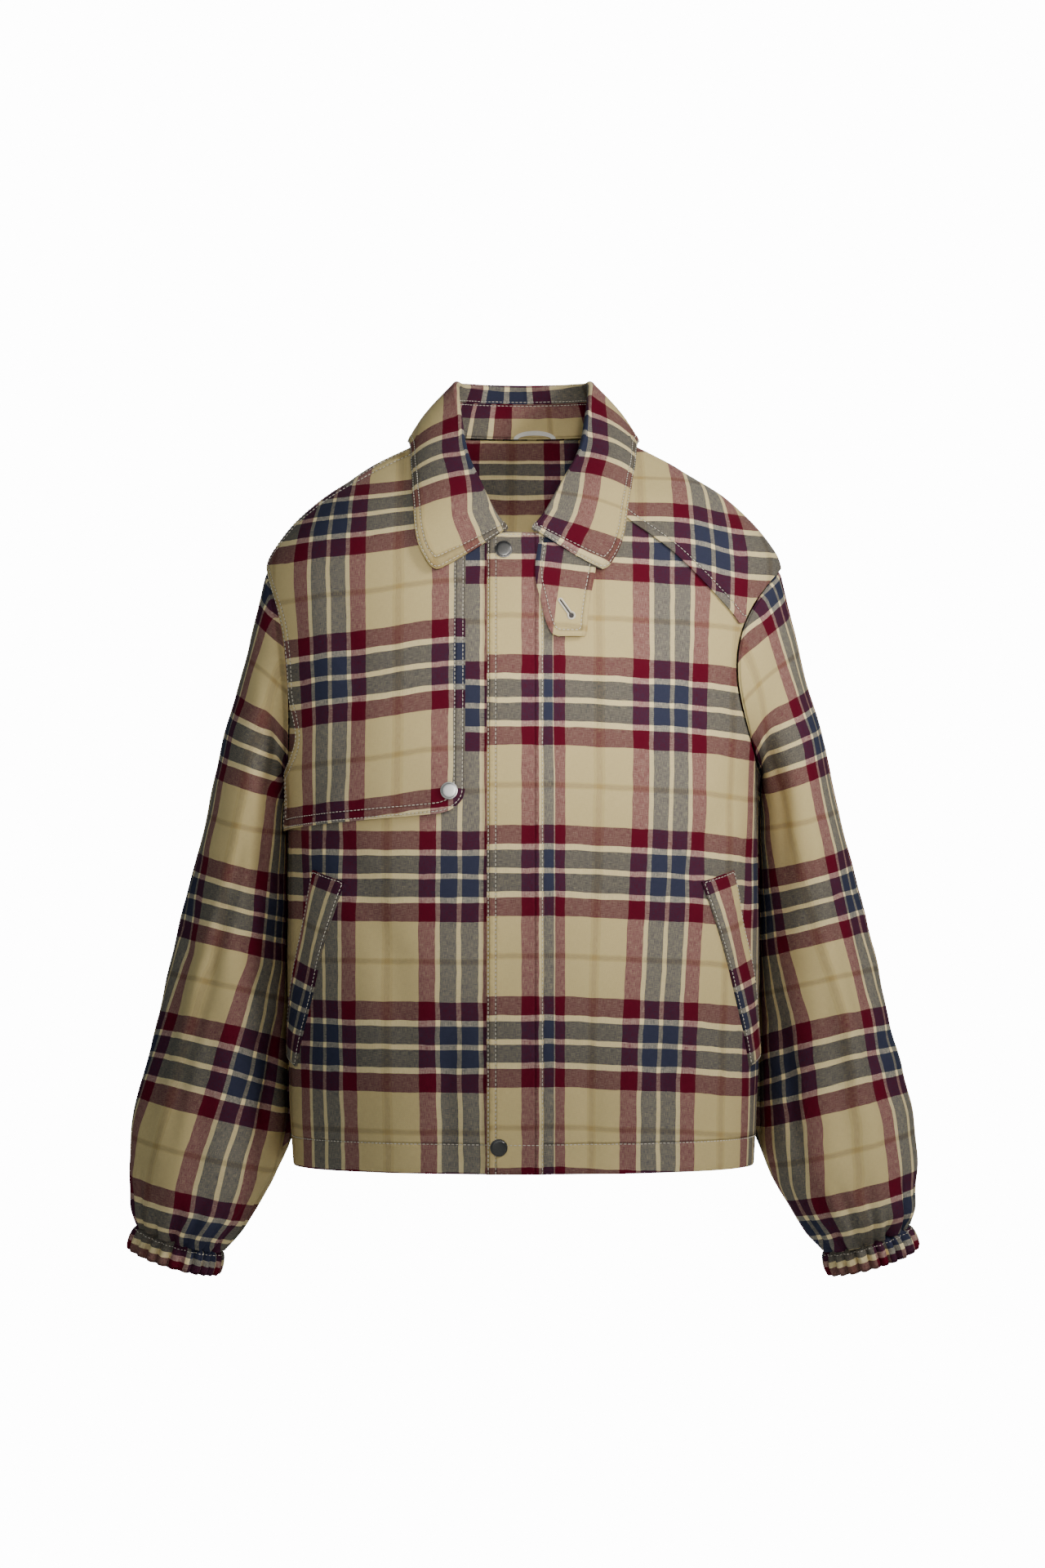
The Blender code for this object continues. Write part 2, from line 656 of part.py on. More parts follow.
def flap_bottom():
    """List the flap's lower edge as x and z, from the side in to its rounded free corner."""
    inward = (0.140, 0.095, 0.055, 0.018)
    edge = [(FLAP_EDGE_X - far, FLAP_BOTTOM_Z - FLAP_SIDE_DROP * far / inward[0]) for far in inward]
    for step in range(1, FLAP_CORNER_STEPS + 1):
        turn = math.pi / 2 * step / FLAP_CORNER_STEPS
        edge.append((FLAP_EDGE_X - FLAP_CORNER * (1 - math.sin(turn)),
                     FLAP_BOTTOM_Z + FLAP_CORNER * (1 - math.cos(turn))))
    return edge


def build_storm_flap(rows):
    """Build the storm flap from the cells of the wearer's right front."""
    bottom = flap_bottom()
    outline = [place_on(rows, z, at_x(x)) for x, z in bottom]
    for z in own_heights(rows, bottom[-1][1], FLAP_NECK_Z)[1:-1]:
        outline.append(place_on(rows, z, at_x(FLAP_EDGE_X)))
    for z in own_heights(rows, FLAP_NECK_Z, FLAP_TOP_Z):
        outline.append(place_on(rows, z, from_neck(FLAP_SEAM_MARGIN)))
    side_z = FLAP_BOTTOM_Z - FLAP_SIDE_DROP
    for z in reversed(own_heights(rows, side_z, FLAP_TOP_Z)):
        loose = ease((FLAP_LOOSE_Z - z) / FLAP_LOOSE_RUN)
        margin = FLAP_SEAM_MARGIN + (FLAP_SIDE_MARGIN - FLAP_SEAM_MARGIN) * loose
        outline.append(place_on(rows, z, from_side(margin)))
    overlay_piece("storm_flap", rows, outline, 2 * SEAM, CLOTH, CHECKED_COTTON)


def build_yoke(rows):
    """Build the lapped shoulder yoke from the cells of the wearer's left front."""
    outline = [place_on(rows, edge.z, at_x(edge.x)) for edge in YOKE_EDGE]
    for z in own_heights(rows, YOKE_EDGE[-1].z + 3 * ROW_MARGIN, FLAP_TOP_Z):
        outline.append(place_on(rows, z, from_neck(FLAP_SEAM_MARGIN)))
    for z in reversed(own_heights(rows, YOKE_EDGE[0].z, FLAP_TOP_Z)):
        outline.append(place_on(rows, z, from_side(FLAP_SEAM_MARGIN)))
    overlay_piece("shoulder_yoke", rows, outline, 2 * SEAM, CLOTH, CHECKED_COTTON)


def build_welts(fronts):
    """Build a slanted pocket welt on each front."""
    for side, name in ((-1, "pocket_welt_right"), (1, "pocket_welt_left")):
        outline = [place_on(fronts[side], corner.z, from_side(corner.from_side))
                   for corner in WELT_CORNERS]
        overlay_piece(name, fronts[side], outline, 2 * SEAM, FACED, FACED_COTTON)


def build_placket(rows):
    """Build the straight placket over the centre of both fronts."""
    placket = []
    for z in own_heights(rows, HEM_Z, PLACKET_TOP_Z):
        placket.append(body_row(z, turn_at_x(z, PLACKET_LEFT_X), turn_at_x(z, PLACKET_RIGHT_X),
                                PLACKET_COLUMNS))
    layered_piece("front_placket", placket, PLACKET_GAP, FACED, FACED_COTTON)


def build_tab():
    """Build the throat tab that hangs from under the collar."""
    tab = []
    for row in reversed(TAB):
        tab.append(body_row(row.z, turn_at_x(row.z, row.left_x), turn_at_x(row.z, row.right_x), 4))
    layered_piece("throat_tab", tab, PLACKET_GAP + FACED + SEAM, FACED, FACED_COTTON)


def armhole_point(angle, inset):
    """Give a point of the armhole for +X: angle 0 at the top, a quarter turn at the front."""
    z = ARMHOLE_MID_Z + (ARMHOLE_HALF_HEIGHT - inset) * math.cos(angle)
    reach = ARMHOLE_FRONT if math.sin(angle) > 0 else ARMHOLE_BACK
    y = -(reach - inset) * math.sin(angle)
    return body_point(z, turn_at_y(z, y, 1))


def flat_ring_point(ring, angle):
    """Give a point of a sleeve ring that lies in its own tilted plane."""
    middle_x = (ring.outer_x + ring.inner_x) / 2
    middle_z = (ring.outer_z + ring.inner_z) / 2
    reach = math.cos(angle)
    y = ring.centre_y - ring.half_depth * math.sin(angle)
    return Vector((middle_x + (ring.outer_x - ring.inner_x) / 2 * reach, y,
                   middle_z + (ring.outer_z - ring.inner_z) / 2 * reach + ring.lean * y))


def sleeve_rings():
    """Give the rings of the +X sleeve, folds and gathers included, armhole first."""
    corners = [armhole_point(2 * math.pi * i / ARMHOLE_STEPS, 2 * SEAM)
               for i in range(ARMHOLE_STEPS)]
    armhole = []
    for index, corner in enumerate(corners):
        following = corners[(index + 1) % ARMHOLE_STEPS]
        armhole += [corner, corner.lerp(following, 0.5)]
    rings = [armhole]
    for number, ring in enumerate(SLEEVE[1:], start=1):
        points = []
        for column in range(SLEEVE_COLUMNS):
            angle = 2 * math.pi * column / SLEEVE_COLUMNS
            point = flat_ring_point(ring, angle)
            bend = armhole[column] - flat_ring_point(SLEEVE[0], angle)
            point += bend * ring.armhole_share
            centre = Vector(((ring.outer_x + ring.inner_x) / 2, ring.centre_y, point.z))
            inward = (centre - point).normalized()
            points.append(point + inward * sleeve_fold(point.z, math.degrees(angle))
                          + inward * sleeve_gather(number, angle))
        rings.append(points)
    return rings


def sleeve_fold(z, around):
    """Sum the sleeve's long folds at a place, as a depth towards its middle."""
    total = 0.0
    for fold in SLEEVE_FOLDS:
        share = (fold.top_z - z) / (fold.top_z - fold.bottom_z)
        if 0 < share < 1:
            reach = math.sin(math.pi * share) ** 0.8
            away = (around - fold.around_deg) / fold.spread_deg
            total += fold.depth * reach * math.exp(-away * away)
    return total


def sleeve_gather(number, angle):
    """Give the gathers above the cuff, which fade out upwards."""
    reach = (number - SLEEVE_GATHER_START) / (len(SLEEVE) - 1 - SLEEVE_GATHER_START)
    return SLEEVE_GATHER_DEPTH * ease(reach) * math.cos(SLEEVE_GATHERS * angle)


def cuff_rings():
    """Give the rings of the +X cuff, below the sleeve's last ring and square to its run."""
    last = SLEEVE[-1]
    across = Vector((last.outer_x - last.inner_x, 0, last.outer_z - last.inner_z)).normalized()
    down = Vector((0, 1, 0)).cross(across).normalized()
    if down.z > 0:
        down.negate()
    middle = Vector(((last.outer_x + last.inner_x) / 2, 0, (last.outer_z + last.inner_z) / 2))
    rings = []
    for ring in CUFF_RINGS:
        points = []
        for column in range(CUFF_COLUMNS):
            angle = 2 * math.pi * column / CUFF_COLUMNS
            wave = ring.bulge + ring.gather * math.cos(CUFF_GATHERS * angle)
            y = -(CUFF_HALF_DEPTH + wave) * math.sin(angle)
            point = middle + across * (CUFF_HALF_WIDTH + wave) * math.cos(angle) + down * ring.along
            points.append(point + Vector((0, y, last.lean * y)))
        rings.append(points)
    return rings


def outward(rings, normals):
    """Turn the normals of a tube so that they point away from its middle."""
    ring, line = rings[-1], normals[-1]
    middle = sum(ring, Vector()) / len(ring)
    if sum((point - middle).dot(normal) for point, normal in zip(ring, line)) > 0:
        return normals
    return [[-normal for normal in line] for line in normals]


def mirrored(grid):
    """Mirror a grid of points or directions to the other side of the body."""
    return [[Vector((-item.x, item.y, item.z)) for item in row] for row in grid]


def build_sleeves():
    """Build both sleeves and both cuffs."""
    rings = sleeve_rings()
    normals = outward(rings, grid_normals(rings, closed=True))
    normals[0] = [(normal + body_normal(point)).normalized()
                  for normal, point in zip(normals[0], rings[0])]
    cuff = cuff_rings()
    cuff_normals = outward(cuff, grid_normals(cuff, closed=True))
    tube_piece("sleeve_left", rings, normals, CLOTH, CHECKED_COTTON)
    tube_piece("cuff_left", cuff, cuff_normals, CUFF_WALL, FACED_COTTON)
    tube_piece("sleeve_right", mirrored(rings), mirrored(normals), CLOTH, CHECKED_COTTON)
    tube_piece("cuff_right", mirrored(cuff), mirrored(cuff_normals), CUFF_WALL, FACED_COTTON)


def neck_point(around):
    """Give the neckline's point on the +X side, from 0 at the centre back to 1 at the front."""
    if around <= 0.5:
        angle = math.pi * around
        return Vector((NECK_HALF_WIDTH * math.sin(angle), BACK_NECK_DEPTH * math.cos(angle),
                       BACK_NECK_Z))
    angle = math.pi * (around - 0.5)
    x = NECK_HALF_WIDTH * math.cos(angle)
    z = NECK_TOP_Z - NECK_DROP * math.sin(angle)
    return front_point(x, min(z, BACK_NECK_Z))


def clear_of_body(point, lift):
    """Move a point out until it is at least lift away from the plain body."""
    for _ in range(3):
        if point.z > BODY[-1].z:
            return point
        section = table_row(BODY, point.z)
        level = max(section_level(point.x, point.y, point.z), 1e-6)
        shrink = level ** (-1 / section.power)
        base = Vector((point.x * shrink, point.y * shrink, point.z))
        normal = body_normal(base)
        missing = lift - (point - base).dot(normal)
        if missing > 0:
            point = point + normal * missing
    return point


def collar_profiles():
    """Give the neck-side profiles of stand and leaf for each place on the +X side."""
    stand = []
    leaf = []
    for index in range(COLLAR_COLUMNS + 1):
        around = COLLAR_FRONT_END * index / COLLAR_COLUMNS
        place = table_row(COLLAR, around)
        base = neck_point(around)
        step = 0.01
        tangent = neck_point(around + step) - neck_point(max(around - step, 0.0))
        fold = Vector((place.fold_x, place.fold_y, place.fold_z))
        rise = (fold - base).normalized()
        out = tangent.cross(rise).normalized()
        if out.dot(body_normal(base)) < 0:
            out.negate()
        height = (fold - base).length
        foot = base - out * (FACED + SEAM) + rise * 3 * SEAM
        radius = min(COLLAR_FOLD_RADIUS, height * COLLAR_FOLD_SHARE)
        below_fold = height - radius - COLLAR_FALL_START
        crown = foot + rise * min(height * STAND_SHARE, below_fold)
        tuck = SHOULDER_TUCK * math.exp(-((around - 0.5) / SHOULDER_TUCK_RUN) ** 2)
        stand.append([foot - out * tuck, foot.lerp(crown, 0.5), crown])
        centre = fold - rise * radius
        start = crown + rise * SEAM
        inner_turn = centre - out * radius
        outer_turn = centre + out * radius
        diagonal = radius * math.sqrt(0.5)
        profile = [start, inner_turn, centre - out * diagonal + rise * diagonal, fold,
                   centre + out * diagonal + rise * diagonal, outer_turn]
        edge = Vector((place.edge_x, place.edge_y, place.edge_z))
        edge = clear_of_body(edge, place.lift + CLOTH)
        for number in range(1, COLLAR_LEAF_STEPS + 1):
            share = number / COLLAR_LEAF_STEPS
            point = outer_turn.lerp(edge, share)
            point += out * place.bulge * math.sin(math.pi * share)
            profile.append(clear_of_body(point, place.lift + CLOTH))
        leaf.append(profile)
    return stand, leaf


def both_sides(profiles):
    """Join mirrored profiles and their originals into one run from -X round to +X."""
    return mirrored(profiles[:0:-1]) + profiles


def build_collar():
    """Build the collar stand and the folded collar leaf."""
    stand, leaf = collar_profiles()
    for name, profiles, wall in (("collar_stand", stand, FACED), ("collar_leaf", leaf, CLOTH)):
        grid = both_sides(profiles)
        normals = grid_normals(grid, closed=False)
        middle = len(grid) // 2
        if normals[middle][0].y > 0:
            normals = [[-normal for normal in line] for line in normals]
        rows = [[Spot(point, normal) for point, normal in zip(points, line)]
                for points, line in zip(grid, normals)]
        layered_piece(name, rows, -wall, wall, FACED_COTTON)


def build_snap(name, x, z, lift, finish):
    """Build a domed snap cap on the front."""
    foot = front_point(x, z)
    normal = body_normal(foot)
    across = Vector((0, 0, 1)).cross(normal).normalized()
    upward = normal.cross(across)
    foot = foot + normal * (lift + SEAM - drape(foot))
    builder = bmesh.new()
    rings = []
    for radius_share, height_share in ((1.0, 0.0), (1.0, 0.40), (0.86, 0.75), (0.50, 0.96)):
        ring = []
        for index in range(SNAP_SIDES):
            angle = 2 * math.pi * index / SNAP_SIDES
            around = across * math.cos(angle) + upward * math.sin(angle)
            ring.append(builder.verts.new(foot + around * SNAP_RADIUS * radius_share
                                          + normal * SNAP_HEIGHT * height_share))
        rings.append(ring)
    for low, high in zip(rings, rings[1:]):
        for index in range(SNAP_SIDES):
            following = (index + 1) % SNAP_SIDES
            builder.faces.new((low[index], low[following], high[following], high[index]))
    builder.faces.new(reversed(rings[0]))
    crown = builder.verts.new(foot + normal * SNAP_HEIGHT)
    for index in range(SNAP_SIDES):
        builder.faces.new((rings[-1][index], rings[-1][(index + 1) % SNAP_SIDES], crown))
    make_object(name, builder, finish)


def build_hang_loop():
    """Build the ribbon arch that stands on the back neck seam, inside the collar stand."""
    half_run = (LOOP_RIGHT_X - LOOP_LEFT_X) / 2
    rows = []
    for index in range(LOOP_STEPS + 1):
        turn = math.pi * index / LOOP_STEPS
        row = []
        for ribbon in (0.0, LOOP_RIBBON):
            x = LOOP_LEFT_X + half_run - (half_run - LOOP_RIBBON + ribbon) * math.cos(turn)
            z = BACK_NECK_Z + 2 * SEAM + (LOOP_RISE - LOOP_RIBBON + ribbon) * math.sin(turn)
            y = BACK_NECK_DEPTH * math.sqrt(1 - (x / NECK_HALF_WIDTH) ** 2)
            inward = -Vector((x / NECK_HALF_WIDTH ** 2, y / BACK_NECK_DEPTH ** 2, 0)).normalized()
            depth = FACED + 3 * SEAM + STAND_LEAN * (z - BACK_NECK_Z)
            row.append(Spot(Vector((x, y, z)) + inward * depth, inward))
        rows.append(row)
    layered_piece("hang_loop", rows, 0.0, LOOP_THICK, RIBBON)


def build_jacket():
    """Clear the scene and build every piece."""
    for item in list(bpy.data.objects):
        bpy.data.objects.remove(item, do_unlink=True)
    fronts = {-1: front_rows(-1), 1: front_rows(1)}
    build_panels(fronts, back_rows())
    build_storm_flap(fronts[-1])
    build_yoke(fronts[1])
    build_welts(fronts)
    build_placket(fronts[1])
    build_tab()
    build_sleeves()
    build_collar()
    placket_face = PLACKET_GAP + FACED
    build_snap("snap_top", SNAP_X, SNAP_TOP_Z, placket_face, GUNMETAL)
    build_snap("snap_bottom", SNAP_BOTTOM_X, SNAP_BOTTOM_Z, placket_face, GUNMETAL)
    build_snap("snap_flap", SNAP_FLAP_X, SNAP_FLAP_Z, SEAM + CLOTH, STEEL)
    build_hang_loop()


build_jacket()
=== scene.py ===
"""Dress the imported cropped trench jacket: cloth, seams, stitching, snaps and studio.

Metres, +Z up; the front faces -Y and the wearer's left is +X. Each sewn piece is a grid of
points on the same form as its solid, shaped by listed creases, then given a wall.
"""
from __future__ import annotations

import logging
import math
from dataclasses import dataclass, field
from enum import Enum
from typing import Iterable, Sequence

import bpy
import numpy as np
from mathutils import Matrix, Vector


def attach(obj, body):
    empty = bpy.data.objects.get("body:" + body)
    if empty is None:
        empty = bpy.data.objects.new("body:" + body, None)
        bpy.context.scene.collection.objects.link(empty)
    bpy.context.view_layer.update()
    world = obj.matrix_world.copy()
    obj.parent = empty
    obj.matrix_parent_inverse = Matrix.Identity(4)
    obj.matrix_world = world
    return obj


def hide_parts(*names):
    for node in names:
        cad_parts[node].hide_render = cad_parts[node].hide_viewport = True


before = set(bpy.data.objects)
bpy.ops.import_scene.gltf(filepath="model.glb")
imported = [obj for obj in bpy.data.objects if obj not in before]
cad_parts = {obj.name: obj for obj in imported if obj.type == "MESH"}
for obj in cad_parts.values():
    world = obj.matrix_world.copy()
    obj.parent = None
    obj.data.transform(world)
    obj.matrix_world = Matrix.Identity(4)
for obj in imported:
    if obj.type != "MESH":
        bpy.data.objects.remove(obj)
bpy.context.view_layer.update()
LOG = logging.getLogger("jacket")

Array = np.ndarray
Table = tuple[tuple[float, ...], ...]
Spots = tuple[float, float] | Table
Place = tuple[float, float, float]
Piece, Material = bpy.types.Object, bpy.types.Material
Tree, Node, Socket = bpy.types.NodeTree, bpy.types.Node, bpy.types.NodeSocket

HEM_Z = -0.636
SEAM = 0.0003
# how far from a piece's edge its close rows of points lie
NEAR = (0.0, 0.0007, 0.0016, 0.0030, 0.0052, 0.0086)


class Side(Enum):
    """The wearer's sides, by the sign of X."""

    RIGHT = -1
    LEFT = 1

    def tube(self, points: Array, flat: Array) -> "Cloth":
        """Make a closed cloth of a tube laid out for the left, mirrored on the right."""
        if self is Side.RIGHT:
            points, flat = points[:, ::-1] * (-1, 1, 1), flat[:, ::-1]
        return Cloth(points, flat, closed=True)


class Border(Enum):
    """The four borders of a cloth grid."""

    BOTTOM = "bottom"
    TOP = "top"
    START = "start"
    END = "end"


# ---------------------------------------------------------------- small mathematics


def ease(share: Array | float) -> Array:
    """Go smoothly from 0 to 1 as share does."""
    share = np.clip(share, 0.0, 1.0)
    return share * share * (3.0 - 2.0 * share)


def hump(distance: Array, width: float) -> Array:
    """Give a soft bell, 1 at no distance and spread over a width."""
    return np.exp(-(distance / width) ** 2)


def signed_power(value: Array, power: Array | float) -> Array:
    """Raise the size of a value to a power and keep its sign."""
    return np.sign(value) * np.abs(value) ** power


def unit(vectors: Array) -> Array:
    """Scale vectors to length one."""
    return vectors / np.maximum(np.linalg.norm(vectors, axis=-1, keepdims=True), 1e-12)


def travelled(points: Array, axis: int = 0) -> Array:
    """Give the length run along one axis of a grid or line of points, from 0."""
    steps = np.linalg.norm(np.diff(points, axis=axis), axis=-1)
    return np.concatenate([np.zeros_like(np.take(steps, [0], axis)), np.cumsum(steps, axis)], axis)


def read_table(rows: Sequence[Sequence[float]], at: Array) -> Array:
    """Read a table between its rows by a smooth curve through each column.

    Args:
        rows: Rows of numbers; column 0 is the key, rising.
        at: Keys to read.

    Returns:
        One row of all columns for each key, in the last axis.
    """
    table = np.array(rows, float)
    key = table[:, 0]
    at = np.clip(np.asarray(at, float), key[0], key[-1])
    low = np.clip(np.searchsorted(key, at, side="left") - 1, 0, len(key) - 2)
    before = np.maximum(low - 1, 0)
    after = np.minimum(low + 2, len(key) - 1)
    span = (key[low + 1] - key[low])[..., None]
    t = ((at - key[low]) / (key[low + 1] - key[low]))[..., None]
    slope_in = (table[low + 1] - table[before]) / (key[low + 1] - key[before])[..., None] * span
    slope_out = (table[after] - table[low]) / (key[after] - key[low])[..., None] * span
    return ((2 * t ** 3 - 3 * t ** 2 + 1) * table[low] + (t ** 3 - 2 * t ** 2 + t) * slope_in
            + (3 * t ** 2 - 2 * t ** 3) * table[low + 1] + (t ** 3 - t ** 2) * slope_out)


def between(table: Array, row: Array, column: Array) -> Array:
    """Read a two-way table at fractional rows and columns."""
    row = np.clip(row, 0, table.shape[0] - 1.000001)
    column = np.clip(column, 0, table.shape[1] - 1.000001)
    r, c = row.astype(int), column.astype(int)
    u, v = row - r, column - c
    return ((1 - u) * (1 - v) * table[r, c] + u * (1 - v) * table[r + 1, c]
            + (1 - u) * v * table[r, c + 1] + u * v * table[r + 1, c + 1])


def spaced(length: Array | float, middle: int, near: Sequence[float] = NEAR) -> Array:
    """Space positions along a length, close together near both ends.

    Args:
        length: Lengths to divide, of any shape.
        middle: Number of even steps between the close ones.
        near: Distances from an end at which the close positions lie, rising from 0.

    Returns:
        Positions from 0 to each length, in a new last axis.
    """
    length = np.asarray(length, float)[..., None]
    close = np.array(near) * np.minimum(1.0, length / (6 * near[-1]))
    last = close[..., -1:]
    even = last + (length - 2 * last) * np.arange(1, middle) / middle
    return np.concatenate([close, even, (length - close)[..., ::-1]], axis=-1)


def shares(length: float, middle: int, near: Sequence[float] = NEAR) -> Array:
    """Give shares from 0 to 1 of a length, close together near both ends."""
    return spaced(length, middle, near) / length


@dataclass(frozen=True)
class Crease:
    """A soft trough (depth above 0) or ridge (below 0) along a path.

    The path holds points in the piece's own chart, and reach is how far it is felt.
    """

    path: tuple[tuple[float, float], ...]
    reach: float
    depth: float

    def at(self, across: Array, up: Array) -> Array:
        """Give the crease's depth at places of the chart."""
        best = np.full(np.broadcast(across, up).shape, 1e9)
        run = np.zeros_like(best)
        lengths = [math.dist(a, b) for a, b in zip(self.path, self.path[1:])]
        done = 0.0
        for (a, b), length in zip(zip(self.path, self.path[1:]), lengths):
            dx, dy = (b[0] - a[0]) / length, (b[1] - a[1]) / length
            along = np.clip((across - a[0]) * dx + (up - a[1]) * dy, 0, length)
            far = np.hypot(across - a[0] - along * dx, up - a[1] - along * dy)
            closer = far < best
            best = np.where(closer, far, best)
            run = np.where(closer, (done + along) / sum(lengths), run)
            done += length
        return self.depth * hump(best, self.reach) * np.sin(np.pi * np.clip(run, 0.02, 0.98)) ** 0.7


def creased(creases: Iterable[Crease], across: Array, up: Array) -> Array:
    """Sum the depths of creases at places of a chart."""
    total = np.zeros(np.broadcast(across, up).shape)
    for crease in creases:
        total = total + crease.at(across, up)
    return total


def ripple(across: Array, up: Array, size: float, seed: int) -> Array:
    """Give an uneven low relief between about -1 and 1, with humps of about a size."""
    source = np.random.default_rng(seed)
    total = np.zeros(np.broadcast(across, up).shape)
    waves = 7
    for _ in range(waves):
        heading, phase = source.uniform(0, math.tau), source.uniform(0, math.tau)
        step = math.tau / (size * source.uniform(0.7, 1.7))
        total = total + np.sin((across * math.cos(heading) + up * math.sin(heading)) * step + phase)
    return total / (waves / 2)


# ---------------------------------------------------------------- the body's form


@dataclass
class Body:
    """The hollow body as level sections, and its chart of arc length and height.

    Arc length runs round a section from the centre front, positive towards +X.
    """

    sections: Table = (
        # z, half width, front depth, back depth, power
        (-0.636, 0.2030, 0.1430, 0.1500, 2.40),
        (-0.560, 0.2065, 0.1460, 0.1520, 2.40),
        (-0.450, 0.2075, 0.1460, 0.1500, 2.40),
        (-0.350, 0.2070, 0.1430, 0.1470, 2.40),
        (-0.290, 0.2070, 0.1390, 0.1430, 2.40),
        (-0.230, 0.2120, 0.1340, 0.1380, 2.38),
        (-0.170, 0.2195, 0.1240, 0.1300, 2.34),
        (-0.113, 0.2250, 0.1080, 0.1170, 2.30),
        (-0.085, 0.2105, 0.1000, 0.1080, 2.25),
        (-0.055, 0.1810, 0.0800, 0.0980, 2.20),
        (-0.037, 0.1550, 0.0600, 0.0900, 2.20),
        (-0.019, 0.1270, 0.0410, 0.0830, 2.20),
        (0.000, 0.0880, 0.0220, 0.0740, 2.20),
        (0.005, 0.0800, 0.0100, 0.0720, 2.20),
    )
    drape: Table = (
        # around in degrees, spread in degrees, depth, top z
        (40, 11, 0.0025, -0.40), (66, 9, 0.0018, -0.48), (118, 9, 0.0020, -0.46),
        (142, 11, 0.0025, -0.40), (212, 10, 0.0060, -0.32), (236, 8, 0.0045, -0.40),
        (262, 7, 0.0035, -0.44), (288, 8, 0.0050, -0.36), (322, 10, 0.0060, -0.33),
    )
    armhole_mid_z: float = -0.2015
    armhole_half_height: float = 0.0885
    armhole_front: float = 0.078
    armhole_back: float = 0.088
    neck_half_width: float = 0.078
    neck_top_z: float = 0.006
    neck_drop: float = 0.092
    back_neck_z: float = 0.0053
    back_neck_depth: float = 0.0715
    samples: int = 360

    def __post_init__(self) -> None:
        """Tabulate arc lengths over all heights and turns."""
        self.shoulder_z = self.armhole_mid_z + self.armhole_half_height
        self.underarm_z = self.armhole_mid_z - self.armhole_half_height
        self.top_z = self.sections[-1][0]
        self.levels = np.linspace(HEM_Z, self.top_z, 1283)
        turns = np.linspace(math.pi / 2, -math.pi / 2, self.samples + 1)
        trail = self.point(self.levels[:, None], turns[None, :])
        self.arcs = travelled(trail, 1)
        shares = np.linspace(0, 1, self.samples + 1)
        self.turns = np.array([np.interp(shares * arc[-1], arc, turns) for arc in self.arcs])
        self.rises = {}
        for front, reference in ((True, 0.11), (False, 0.09)):
            x = np.minimum(reference, 0.8 * self.section(self.levels)[..., 1])
            y = self.point(self.levels, self.turn_at_x(self.levels, x) * (1 if front else -1))[:, 1]
            run = np.hypot(np.diff(self.levels), np.diff(y))
            self.rises[front] = HEM_Z + np.concatenate([[0], np.cumsum(run)])

    def section(self, z: Array) -> Array:
        """Read the section at heights: z, half width, front and back depth, power."""
        return read_table(self.sections, z)

    def spans(self, z: Array, forward: Array) -> tuple[Array, Array, Array]:
        """Read half width, depth forward or back, and power at heights."""
        _, width, front, back, power = np.moveaxis(self.section(z), -1, 0)
        return width, np.where(forward, front, back), power

    def point(self, z: Array, turn: Array) -> Array:
        """Give points at heights and turns; turn 0 is the +X side, a quarter turn the front."""
        z, turn = np.broadcast_arrays(np.asarray(z, float), np.asarray(turn, float))
        width, depth, power = self.spans(z, np.sin(turn) >= 0)
        return np.stack([width * signed_power(np.cos(turn), 2 / power),
                         -depth * signed_power(np.sin(turn), 2 / power), z], -1)

    def level(self, points: Array, z: Array) -> Array:
        """Say where points are against the section at z: 1 on it, less inside."""
        width, depth, power = self.spans(z, points[..., 1] < 0)
        return np.abs(points[..., 0] / width) ** power + np.abs(points[..., 1] / depth) ** power

    def normal(self, points: Array) -> Array:
        """Give the outward direction of the plain form at points on it."""
        z = points[..., 2]
        width, depth, power = self.spans(z, points[..., 1] < 0)
        across = power * signed_power(points[..., 0] / width, power - 1) / width
        along = power * signed_power(points[..., 1] / depth, power - 1) / depth
        rise = (self.level(points, z + 0.002) - self.level(points, z - 0.002)) / 0.004
        return unit(np.stack([across, along, rise], -1))

    def row(self, z: Array) -> Array:
        """Find the fractional row of heights in the tables."""
        return (np.asarray(z, float) - HEM_Z) / (self.top_z - HEM_Z) * (len(self.levels) - 1)

    def turn_at_x(self, z: Array, x: Array) -> Array:
        """Find the turn of the front's points at x, for x of 0 or more."""
        section = self.section(z)
        return np.arccos(np.clip(x / section[..., 1], 0, 1) ** (section[..., 4] / 2))

    def turn_at_y(self, z: Array, y: Array) -> Array:
        """Find the turn of the +X side's points at y."""
        section = self.section(z)
        depth = np.where(y < 0, section[..., 2], section[..., 3])
        return np.arcsin(signed_power(np.clip(-y / depth, -1, 1), section[..., 4] / 2))

    def arc_at_turn(self, z: Array, turn: Array) -> Array:
        """Give the arc length at heights and turns."""
        return between(self.arcs, self.row(z), (math.pi / 2 - turn) / math.pi * self.samples)

    def arc_at_x(self, z: Array, x: Array) -> Array:
        """Give the signed arc length of the front's points at x."""
        z, x = np.broadcast_arrays(np.asarray(z, float), np.asarray(x, float))
        return np.sign(x) * self.arc_at_turn(z, self.turn_at_x(z, np.abs(x)))

    def half_girth(self, z: Array) -> Array:
        """Give the arc length from the centre front to the centre back."""
        return between(self.arcs, self.row(z), np.full(np.shape(z), float(self.samples)))

    def at(self, arc: Array, z: Array) -> Array:
        """Give points of the plain form at signed arc lengths and heights."""
        arc, z = np.broadcast_arrays(np.asarray(arc, float), np.asarray(z, float))
        share = np.abs(arc) / self.half_girth(z)
        points = self.point(z, between(self.turns, self.row(z), share * self.samples))
        points[..., 0] *= np.where(arc < 0, -1, 1)
        return points

    def drop(self, points: Array) -> Array:
        """Sum the drape folds at points, as a depth towards the inside."""
        around = np.degrees(np.arctan2(-points[..., 1], points[..., 0])) % 360
        total = np.zeros(points.shape[:-1])
        for centre, spread, depth, top in self.drape:
            reach = ease((top - points[..., 2]) / (top - HEM_Z))
            total = total + depth * reach * hump(around - centre, spread)
        return total

